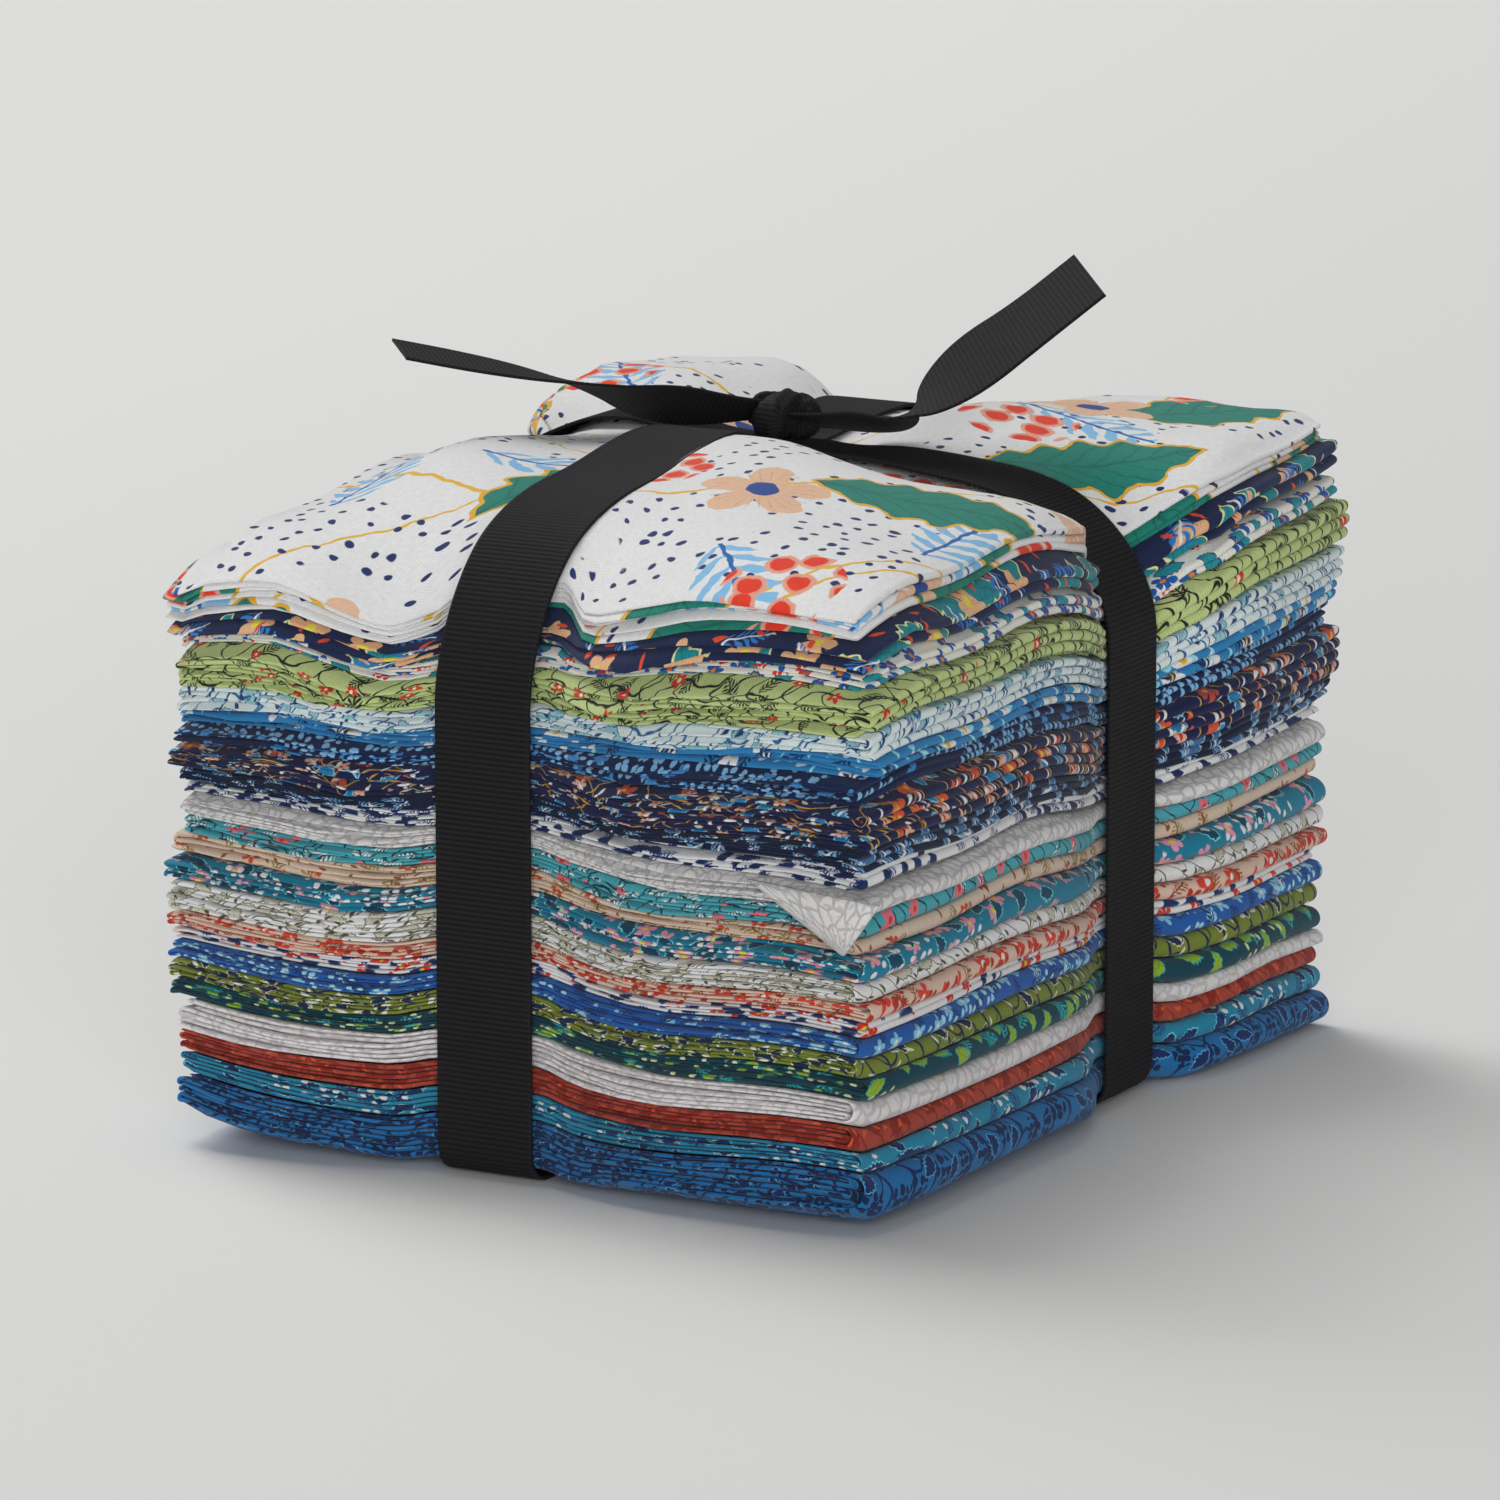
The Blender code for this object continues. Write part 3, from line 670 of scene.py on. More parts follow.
    def section(self, y: np.ndarray) -> dict[str, np.ndarray]:
        """The folded route at each station along Y, as arrays of route points by stations."""
        parts = self.route()
        columns: dict[str, list[np.ndarray]] = {k: [] for k in ("x", "y", "z", "nx", "nz", "half", "end")}
        dense_x = (0.0, 0.0006, 0.0018, 0.004)
        grid = self.stations(STACK.width, self.step_x, dense_x, STACK.tie_x)
        fraction = y / STACK.depth + 0.5
        middles = [self.turn_middle(p, y) if isinstance(p, Turn) else None for p in parts]
        left, right = self.edges(y)
        for i, part in enumerate(parts):
            if isinstance(part, Run):
                near = middles[i - 1] if i else None
                far = middles[i + 1] if i + 1 < len(parts) else None
                if near is None:
                    near = left + part.start if part.side > 0 else right - part.start
                if far is None and part.side > 0 and self.row.fold is Fold.WRAP:
                    far = self.turn_middle(Turn(0, self.row.passes - 1, 1), y)
                elif far is None:
                    far = right - part.stop if part.side > 0 else left + part.stop
                way = grid if part.side > 0 else 1 - grid[::-1]
                places = way[1:-1]
                if i == 0:
                    places = way[:-1]
                if i == len(parts) - 1:
                    places = way[1:]
                x = near[None, :] + places[:, None] * (far - near)[None, :]
                front = self.end_y(part.number, x, True)
                back = self.end_y(part.number, x, False)
                place = front + fraction[None, :] * (back - front)
                z, thick = self.layer(part.number, x, place)
                nx, nz = np.zeros_like(x), np.full_like(x, part.side)
                end = np.full_like(x, 1.0)
                if i == 0:
                    end = np.minimum(end, np.abs(x - near[None, :]))
                if i == len(parts) - 1:
                    end = np.minimum(end, np.abs(far[None, :] - x))
            else:
                large = part.first == 0 and part.second > 1
                steps = 15 if large else 7
                angle = (np.linspace(0, math.pi, steps + 2))[:, None]
                centre = np.repeat(middles[i][None, :], steps + 2, axis=0)
                reach = np.sin(angle)
                mix = (1 - np.cos(angle)) / 2
                front = (1 - mix) * self.end_y(part.first, centre, True)
                front = front + mix * self.end_y(part.second, centre, True)
                back = (1 - mix) * self.end_y(part.first, centre, False)
                back = back + mix * self.end_y(part.second, centre, False)
                place = front + fraction[None, :] * (back - front)
                start, thick_1 = self.layer(part.first, centre, place)
                stop, thick_2 = self.layer(part.second, centre, place)
                radius = np.abs(start - stop) / 2
                down = np.where(start > stop, 1.0, -1.0)
                x = centre + part.side * radius * reach
                z = (start + stop) / 2 + down * radius * np.cos(angle)
                nx, nz = down * np.sin(angle), part.side * np.cos(angle) * np.ones_like(x)
                thick = (1 - mix) * thick_1 + mix * thick_2
                if not large:
                    thick = np.minimum(thick, 2 * radius * 0.98)
                end = np.full_like(x, 1.0)
            for key, value in zip(columns, (x, place, z, nx, nz, thick / 2, end)):
                columns[key].append(value)
        return {key: np.concatenate(value) for key, value in columns.items()}

    def build(self) -> bpy.types.Object:
        """Make the mesh of the doubled sheet.

        Returns:
            The piece, with its cloth coordinates in metres as its UV map.
        """
        dense_y = (0.0, 0.00007, 0.00026, 0.00055, 0.0009, 0.0022, 0.005)
        share = self.stations(STACK.depth, self.step_y, dense_y, STACK.tie_y)
        route = self.section((share - 0.5) * STACK.depth)
        tip = share * STACK.depth
        nose = np.minimum(self.nose * MM, 2 * self.nose * route["half"])
        front = np.clip(tip[None, :] / nose, 0, 1)
        back = np.clip((STACK.depth - tip)[None, :] / nose, 0, 1)
        ends = np.clip(route["end"] / nose, 0, 1)
        half = route["half"] * np.sqrt(1 - (1 - front) ** 2) * np.sqrt(1 - (1 - back) ** 2)
        half = half * np.sqrt(1 - (1 - ends) ** 2)
        half[:, 1:] = np.maximum(half[:, 1:], self.slit)
        half[:, 0] = 0
        if self.sealed:
            half[:, -1] = half[0] = half[-1] = 0
        outer = np.stack([route["x"] + half * route["nx"], route["y"], route["z"] + half * route["nz"]], -1)
        inner = np.stack([route["x"] - half * route["nx"], route["y"], route["z"] - half * route["nz"]], -1)
        sheet = np.concatenate([outer[:, ::-1], inner[:, 1:]], axis=1)
        return self.sheet_object(sheet, route)

    def sheet_object(self, sheet: np.ndarray, route: dict[str, np.ndarray]) -> bpy.types.Object:
        """Turn a grid of points into the piece, with its cloth coordinates in metres."""
        rows, columns = sheet.shape[:2]
        middle = route["x"].shape[1] // 2
        walk = np.stack([route["x"][:, middle], route["z"][:, middle]], -1)
        u = np.concatenate([[0], np.cumsum(np.linalg.norm(np.diff(walk, axis=0), axis=1))])
        across = sheet[rows // 3]
        v = np.concatenate([[0], np.cumsum(np.linalg.norm(np.diff(across, axis=0), axis=1))])
        cloth = grid_object(self.name + "_cloth", sheet, u, v, self.index * 0.31)
        if self.sealed:
            whole = bmesh.new()
            whole.from_mesh(cloth.data)
            bmesh.ops.remove_doubles(whole, verts=whole.verts, dist=0.000002)
            whole.to_mesh(cloth.data)
            whole.free()
        return cloth

    def flap(self) -> bpy.types.Object:
        """Make the corner of this quarter that hangs out over the ones below it."""
        hem = np.array([[0.0535, -0.1062, 0.0712], [0.0835, -0.1068, 0.0690]])
        tip = np.array([0.0768, -0.1092, 0.0585])
        t = np.linspace(0, 0.97, 12)[:, None, None]
        w = np.linspace(0, 1, 12)[None, :, None]
        front = (hem[0] + (hem[1] - hem[0]) * w) * (1 - t) + tip * t
        front[..., 1] -= 0.0009 * np.sin(math.pi * w[..., 0]) * np.sin(math.pi * t[..., 0]) ** 0.5
        back = front[:, ::-1].copy()
        back[..., 1] += 0.0005
        grid = np.concatenate([front, back], axis=1)
        grid = np.concatenate([grid[:1].mean(axis=1, keepdims=True).repeat(24, axis=1), grid,
                               grid[-1:].mean(axis=1, keepdims=True).repeat(24, axis=1)])
        return grid_object(self.name + "_flap", grid, np.arange(14) * 0.001, np.arange(24) * 0.0026, 0.1, True)

    def dress(self, cloth: bpy.types.Object) -> None:
        """Give the piece its print, and say what it is.

        Args:
            cloth: The piece.
        """
        material = PrintedCotton(self.finish, self.index).material()
        extra = [self.flap()] if self.finish.slot == "grey_tonal" else []
        for piece in (cloth, *extra):
            piece.data.materials.append(material)
            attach(piece, "root")
            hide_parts(self.name)


def grid_object(
    name: str, points: np.ndarray, u: np.ndarray, v: np.ndarray, shift: float = 0.0, closed: bool = False
) -> bpy.types.Object:
    """Make a mesh of a grid of points, with metres of cloth as its UV map.

    Args:
        name: The piece's name.
        points: Rows by columns by three.
        u: Metres along the rows.
        v: Metres along the columns.
        shift: Moves the pattern, so that no two pieces show the same part of it.
        closed: True where the last column meets the first again.

    Returns:
        The piece, smooth and with its faces outwards.
    """
    rows, columns = points.shape[:2]
    index = np.arange(rows * columns).reshape(rows, columns)
    if closed:
        index = np.concatenate([index, index[:, :1]], axis=1)
        v = np.concatenate([v, [v[-1] + (v[-1] - v[-2])]])
    quads = np.stack([index[:-1, :-1], index[1:, :-1], index[1:, 1:], index[:-1, 1:]], -1).reshape(-1, 4)
    mesh = bpy.data.meshes.new(name)
    mesh.vertices.add(rows * columns)
    mesh.vertices.foreach_set("co", points.reshape(-1).astype(np.float32))
    mesh.loops.add(quads.size)
    mesh.loops.foreach_set("vertex_index", quads.reshape(-1).astype(np.int32))
    mesh.polygons.add(len(quads))
    mesh.polygons.foreach_set("loop_start", (np.arange(len(quads)) * 4).astype(np.int32))
    mesh.polygons.foreach_set("loop_total", np.full(len(quads), 4, dtype=np.int32))
    wide = len(v)
    place = np.stack(np.meshgrid(u + shift, v + shift * 0.7, indexing="ij"), -1)
    corner = np.arange(rows * wide).reshape(rows, wide)
    corners = np.stack([corner[:-1, :-1], corner[1:, :-1], corner[1:, 1:], corner[:-1, 1:]], -1)
    layer = mesh.uv_layers.new(name="cloth")
    layer.data.foreach_set("uv", place.reshape(-1, 2)[corners.reshape(-1)].reshape(-1).astype(np.float32))
    mesh.update(calc_edges=True)
    mesh.validate()
    mesh.shade_smooth()
    piece = bpy.data.objects.new(name, mesh)
    bpy.context.scene.collection.objects.link(piece)
    return piece


class Wire:
    """A socket of a shader, with the arithmetic that its expressions use."""

    def __init__(self, tree: bpy.types.NodeTree, socket: bpy.types.NodeSocket) -> None:
        """Wrap a socket of a tree."""
        self.tree = tree
        self.socket = socket

    def maths(self, operation: str, *values: "Wire | float") -> "Wire":
        """Add one Math node.

        Args:
            operation: The node's operation.
            *values: Its inputs, in order.

        Returns:
            Its result.
        """
        node = self.tree.nodes.new("ShaderNodeMath")
        node.operation = operation
        for slot, value in zip(node.inputs, values):
            if isinstance(value, Wire):
                self.tree.links.new(value.socket, slot)
            else:
                slot.default_value = value
        return Wire(self.tree, node.outputs[0])

    def __add__(self, other: "Wire | float") -> "Wire":
        """Sum."""
        return self.maths("ADD", self, other)

    __radd__ = __add__

    def __sub__(self, other: "Wire | float") -> "Wire":
        """Difference."""
        return self.maths("SUBTRACT", self, other)

    def __rsub__(self, other: float) -> "Wire":
        """Difference from a number."""
        return self.maths("SUBTRACT", other, self)

    def __mul__(self, other: "Wire | float") -> "Wire":
        """Product."""
        return self.maths("MULTIPLY", self, other)

    __rmul__ = __mul__

    def __truediv__(self, other: "Wire | float") -> "Wire":
        """Quotient."""
        return self.maths("DIVIDE", self, other)

    def __abs__(self) -> "Wire":
        """Distance from 0."""
        return self.maths("ABSOLUTE", self)

    def sin(self) -> "Wire":
        """Sine."""
        return self.maths("SINE", self)

    def cos(self) -> "Wire":
        """Cosine."""
        return self.maths("COSINE", self)

    def root(self) -> "Wire":
        """Square root."""
        return self.maths("SQRT", self)

    def most(self, other: "Wire | float") -> "Wire":
        """The larger of two."""
        return self.maths("MAXIMUM", self, other)

    def least(self, other: "Wire | float") -> "Wire":
        """The smaller of two."""
        return self.maths("MINIMUM", self, other)

    def to_and_fro(self, length: float) -> "Wire":
        """Run up and down between 0 and a length."""
        return self.maths("PINGPONG", self, length)

    def below(self, edge: "Wire | float", soft: float) -> "Wire":
        """1 where it is below an edge and 0 above it.

        Args:
            edge: Where the mask changes.
            soft: Half of the width of the change.

        Returns:
            The mask.
        """
        node = self.tree.nodes.new("ShaderNodeMapRange")
        node.interpolation_type = "SMOOTHSTEP"
        beyond = self - edge
        self.tree.links.new(beyond.socket, node.inputs["Value"])
        for name, value in (("From Min", -soft), ("From Max", soft), ("To Min", 1), ("To Max", 0)):
            node.inputs[name].default_value = value
        return Wire(self.tree, node.outputs["Result"])


class Shading:
    """A material that is written as expressions on the piece's own cloth coordinates."""

    def __init__(self, name: str) -> None:
        """Start a material with its shader, and take the piece's UV map."""
        self.made = bpy.data.materials.new(name)
        self.made.use_nodes = True
        self.tree = self.made.node_tree
        self.shader = self.tree.nodes["Principled BSDF"]
        uv = self.node("ShaderNodeUVMap", {"uv_map": "cloth"}, {})
        self.flat = Wire(self.tree, uv.outputs["UV"])
        self.u, self.v = self.split(self.flat)[:2]

    def node(self, kind: str, settings: dict[str, object], inputs: dict[str, object]) -> bpy.types.Node:
        """Add any node.

        Args:
            kind: Its type.
            settings: Its properties, set first.
            inputs: Values or links of its sockets.

        Returns:
            The node.
        """
        node = self.tree.nodes.new(kind)
        for name, value in settings.items():
            setattr(node, name, value)
        for name, value in inputs.items():
            if isinstance(value, Wire):
                self.tree.links.new(value.socket, node.inputs[name])
            else:
                node.inputs[name].default_value = value
        return node

    def wire(self, node: bpy.types.Node, output: str | int = 0) -> Wire:
        """One output of a node."""
        return Wire(self.tree, node.outputs[output])

    def split(self, vector: Wire) -> tuple[Wire, Wire, Wire]:
        """The three parts of a vector or a colour."""
        parts = self.node("ShaderNodeSeparateXYZ", {}, {"Vector": vector})
        return self.wire(parts, 0), self.wire(parts, 1), self.wire(parts, 2)

    def moved(self, vector: Wire, x: float, y: float) -> Wire:
        """A vector moved by a distance."""
        return self.wire(self.node("ShaderNodeVectorMath", {"operation": "ADD"}, {0: vector, 1: (x, y, 0)}))

    def noise(self, scale: float, detail: float = 2.0) -> bpy.types.Node:
        """Soft noise over the cloth."""
        return self.node(
            "ShaderNodeTexNoise",
            {"noise_dimensions": "2D"},
            {"Vector": self.flat, "Scale": scale, "Detail": detail},
        )

    def warped(self, amount: float, scale: float) -> Wire:
        """The cloth coordinates, moved about a little, so that lines look drawn by hand."""
        noise = self.wire(self.noise(scale, 1.0), "Color")
        centred = self.node("ShaderNodeVectorMath", {"operation": "SUBTRACT"}, {0: noise, 1: (0.5,) * 3})
        scaled = self.node("ShaderNodeVectorMath", {"operation": "SCALE"}, {0: self.wire(centred), "Scale": amount})
        added = self.node("ShaderNodeVectorMath", {"operation": "ADD"}, {0: self.flat, 1: self.wire(scaled)})
        return self.wire(added)

    def mix(self, factor: Wire | float, first: Wire | Colour, second: Wire | Colour) -> Wire:
        """Blend two colours."""
        values = [c if isinstance(c, Wire) else (*c, 1) for c in (first, second)]
        node = self.node(
            "ShaderNodeMix", {"data_type": "RGBA"}, {0: factor, 6: values[0], 7: values[1]}
        )
        return self.wire(node, 2)

    def feed(self, name: str, value: Wire) -> None:
        """Link a value to the shader."""
        self.tree.links.new(value.socket, self.shader.inputs[name])

    def relief(self, height: Wire, distance: float, strength: float = 1.0) -> None:
        """Turn a height into the surface's relief."""
        bump = self.node("ShaderNodeBump", {}, {"Height": height, "Distance": distance, "Strength": strength})
        self.feed("Normal", self.wire(bump, "Normal"))


class PrintedCotton(Shading):
    """Plain woven quilting cotton with its print."""

    thread = 0.00062

    def __init__(self, finish: CottonPrint, seed: int) -> None:
        """Take the print and the place of the quarter."""
        super().__init__(finish.slot)
        self.finish = finish
        self.seed = seed

    def strewn(self, pitch: float, seed: int) -> tuple[Wire, Wire, Wire]:
        """Split the cloth into cells, one for each motif.

        Args:
            pitch: The distance between motifs, in metres.
            seed: Names the layout.

        Returns:
            The place counted from the middle of the nearest motif and turned with it, in metres,
            and a number from 0 to 1 that each motif has for itself.
        """
        place = self.moved(self.drawn, 0.173 * seed, 0.291 * seed)
        cells = self.node(
            "ShaderNodeTexVoronoi",
            {"voronoi_dimensions": "2D", "feature": "F1"},
            {"Vector": place, "Scale": 1 / pitch, "Randomness": 0.62},
        )
        local = self.node(
            "ShaderNodeVectorMath", {"operation": "SUBTRACT"}, {0: place, 1: self.wire(cells, "Position")}
        )
        x, y, _ = self.split(self.wire(local))
        turn, chance, _ = self.split(self.wire(cells, "Color"))
        turn = turn * (2 * math.pi)
        cos, sin = turn.cos(), turn.sin()
        return x * cos + y * sin, y * cos - x * sin, chance

    def chosen(self, mask: Wire, chance: Wire, share: float) -> Wire:
        """Leave a mask out of some cells."""
        return mask if share >= 1 else mask * chance.below(share, 0.01)

    def painted(self, colour: Wire, motif: Motif, seed: int) -> Wire:
        """Print one kind of motif over what is there.

        Args:
            colour: The cloth so far.
            motif: The motif and its sizes.
            seed: Names its layout.

        Returns:
            The cloth with the motif.
        """
        size, pitch, soft = motif.size * MM, motif.pitch * MM, 0.00012
        accent = motif.accent or motif.colour
        dark = tuple(0.62 * c for c in motif.colour)
        if motif.shape is Shape.VINES:
            u, v, _ = self.split(self.moved(self.drawn, 0.07 * seed, 0.11 * seed))
            slant = v + u * 0.45 + (u * (2 * math.pi / (3.1 * pitch))).sin() * (0.42 * pitch)
            line = slant.to_and_fro(pitch / 2).below(size / 2, soft)
            other = u - v * 0.35 + (v * (2 * math.pi / (2.3 * pitch))).sin() * (0.5 * pitch)
            line = line.most(other.to_and_fro(0.8 * pitch).below(size / 2.4, soft))
            return self.mix(line, colour, motif.colour)
        if motif.shape is Shape.CRACKLE:
            cells = self.node(
                "ShaderNodeTexVoronoi",
                {"voronoi_dimensions": "2D", "feature": "DISTANCE_TO_EDGE"},
                {"Vector": self.drawn, "Scale": 1 / pitch, "Randomness": 1.0},
            )
            line = self.wire(cells, "Distance").below(size / pitch, 0.04)
            return self.mix(line, colour, motif.colour)
        x, y, chance = self.strewn(pitch, seed)
        around = (x * x + y * y).root()
        if motif.shape is Shape.DOTS:
            mask = around.below(size, soft)
            patch = self.wire(self.noise(38.0, 0.0), "Fac")
            mask = mask if motif.share >= 1 else mask * (1 - patch.below(0.62 - 0.25 * motif.share, 0.01))
            return self.mix(mask, colour, motif.colour)
        if motif.shape is Shape.DASHES:
            mask = (abs(y) + x * x / (2.2 * size)).below(0.24 * size, soft)
            return self.mix(self.chosen(mask, chance, motif.share), colour, motif.colour)
        if motif.shape is Shape.FLOWER:
            angle = x.maths("ARCTAN2", y, x)
            lobes = abs((angle * 2.5).cos())
            mask = around.below(lobes * (0.30 * size) + 0.22 * size, soft)
            colour = self.mix(self.chosen(mask, chance, motif.share), colour, motif.colour)
            veins = abs((angle * 12.5).sin()).below(0.22, 0.12) * around.below(0.40 * size, soft)
            veins = veins * (1 - around.below(0.12 * size, soft)) * 0.45
            colour = self.mix(self.chosen(veins, chance, motif.share), colour, dark)
            middle = around.below(0.13 * size, soft)
            return self.mix(self.chosen(middle, chance, motif.share), colour, accent)
        along = x / size
        belly = 1 - along * along * 4
        if motif.shape is Shape.LEAF:
            edge = belly * (0.23 * size) + (along * 34).sin() * belly * (0.035 * size)
            rim = (abs(y) - edge).below(0.022 * size + 0.00015, soft)
            blade = (abs(y) - edge).below(0.0, soft)
            colour = self.mix(self.chosen(rim, chance, motif.share), colour, accent)
            colour = self.mix(self.chosen(blade, chance, motif.share), colour, motif.colour)
            rib = abs(y).below(0.008 * size + 0.00008, soft)
            side_ribs = (abs(y) * 1.1 - x).to_and_fro(0.062 * size).below(0.006 * size + 0.00005, soft)
            veins = rib.most(side_ribs) * blade * 0.8
            return self.mix(self.chosen(veins, chance, motif.share), colour, dark)
        if motif.shape is Shape.SPRIG:
            stem = abs(y - (along * 4).sin() * (0.03 * size)).below(0.013 * size + 0.00008, soft)
            stem = stem * abs(along).below(0.5, 0.01)
            lean = (x - abs(y) * 0.8).to_and_fro(0.075 * size)
            leaflet = (lean + abs(abs(y) - 0.13 * size) * 0.30).below(0.052 * size, soft)
            leaflet = leaflet * abs(y).below(belly * (0.26 * size), soft) * abs(along).below(0.5, 0.01)
            colour = self.mix(self.chosen(leaflet, chance, motif.share), colour, accent)
            return self.mix(self.chosen(stem, chance, motif.share), colour, motif.colour)
        bunch = self.node(
            "ShaderNodeTexVoronoi",
            {"voronoi_dimensions": "2D", "feature": "F1"},
            {"Vector": self.drawn, "Scale": 2.9 / size, "Randomness": 0.5},
        )
        region = around.below(0.52 * size, 0.002 * size)
        distance = self.wire(bunch, "Distance")
        shade = distance.below(0.42, 0.03) * region
        berry = distance.below(0.30, 0.03) * region
        colour = self.mix(self.chosen(shade, chance, motif.share), colour, accent)
        return self.mix(self.chosen(berry, chance, motif.share), colour, motif.colour)

    def material(self) -> bpy.types.Material:
        """Make the material: the print, the threads of the weave, and the cloth's soft surface.

        Returns:
            The material.
        """
        self.drawn = self.warped(0.0016, 260.0)
        colour: Wire | Colour = self.finish.ground
        for number, motif in enumerate(self.finish.motifs):
            colour = self.painted(colour, motif, 1 + self.seed * 7 + number)
        turn = 2 * math.pi / self.thread
        weave = (self.u * turn).sin() * (self.v * turn).sin()
        slubs = self.wire(self.noise(900.0, 1.0), "Fac")
        fade = self.wire(self.noise(24.0, 2.0), "Fac")
        shade = (weave * 0.09 + slubs * 0.16 + fade * 0.06 + 0.02).least(1.0)
        colour = self.mix(shade.most(0.0), colour, self.mix(0.82, colour, (0.02, 0.02, 0.025)))
        self.feed("Base Color", colour)
        self.feed("Roughness", 0.80 + slubs * 0.16)
        self.relief(weave * 0.6 + slubs * 0.8, 0.00010, 0.8)
        self.shader.inputs["Sheen Weight"].default_value = 0.12
        self.shader.inputs["Sheen Roughness"].default_value = 0.5
        self.shader.inputs["Specular IOR Level"].default_value = 0.25
        return self.made


class Grosgrain(Shading):
    """Near-black ribbon with woven cross ribs and firm edges."""

    def __init__(self, name: str, width: float, pitch: float) -> None:
        """Take the ribbon's width and the distance between its ribs."""
        super().__init__(name)
        self.width = width
        self.pitch = pitch

    def material(self) -> bpy.types.Material:
        """Make the material.

        Returns:
            The material.
        """
        turn = 2 * math.pi / self.pitch
        rib = (self.u * turn).sin()
        fine = (self.v * (2 * math.pi / 0.00030)).sin()
        slubs = self.wire(self.noise(1400.0, 2.0), "Fac")
        fade = self.wire(self.noise(60.0, 2.0), "Fac")
        light = (rib * 0.5 + 0.5) * 0.55 + slubs * 0.3 + fade * 0.15
        self.feed("Base Color", self.mix(light.least(1.0).most(0.0), (0.0035, 0.0034, 0.0040), (0.021, 0.020, 0.023)))
        self.feed("Roughness", 0.62 + slubs * 0.22)
        self.relief(rib * 0.35 + fine * 0.12 + slubs * 0.3, 0.00018, 0.7)
        self.shader.inputs["Sheen Weight"].default_value = 0.02
        self.shader.inputs["Specular IOR Level"].default_value = 0.16
        return self.made


def smooth_path(points: np.ndarray, closed: bool, step: float) -> np.ndarray:
    """Round a path's corners and space its points evenly.

    Args:
        points: The corners, one row each. All columns are carried along.
        closed: True where the last point meets the first.
        step: The distance between points afterwards, by the first three columns.

    Returns:
        The points of the path.
    """
    for _ in range(4):
        after = np.roll(points, -1, axis=0)
        if not closed:
            points_a, points_b = points[:-1], points[1:]
        else:
            points_a, points_b = points, after
        cut = np.stack([0.75 * points_a + 0.25 * points_b, 0.25 * points_a + 0.75 * points_b], 1)
        cut = cut.reshape(-1, points.shape[1])
        if not closed:
            cut = np.concatenate([points[:1], cut, points[-1:]])
        points = cut
    if closed:
        points = np.concatenate([points, points[:1]])
    lengths = np.concatenate([[0], np.cumsum(np.linalg.norm(np.diff(points[:, :3], axis=0), axis=1))])
    count = max(2, round(lengths[-1] / step))
    places = np.linspace(0, lengths[-1], count + 1)
    return np.stack([np.interp(places, lengths, column) for column in points.T], -1)


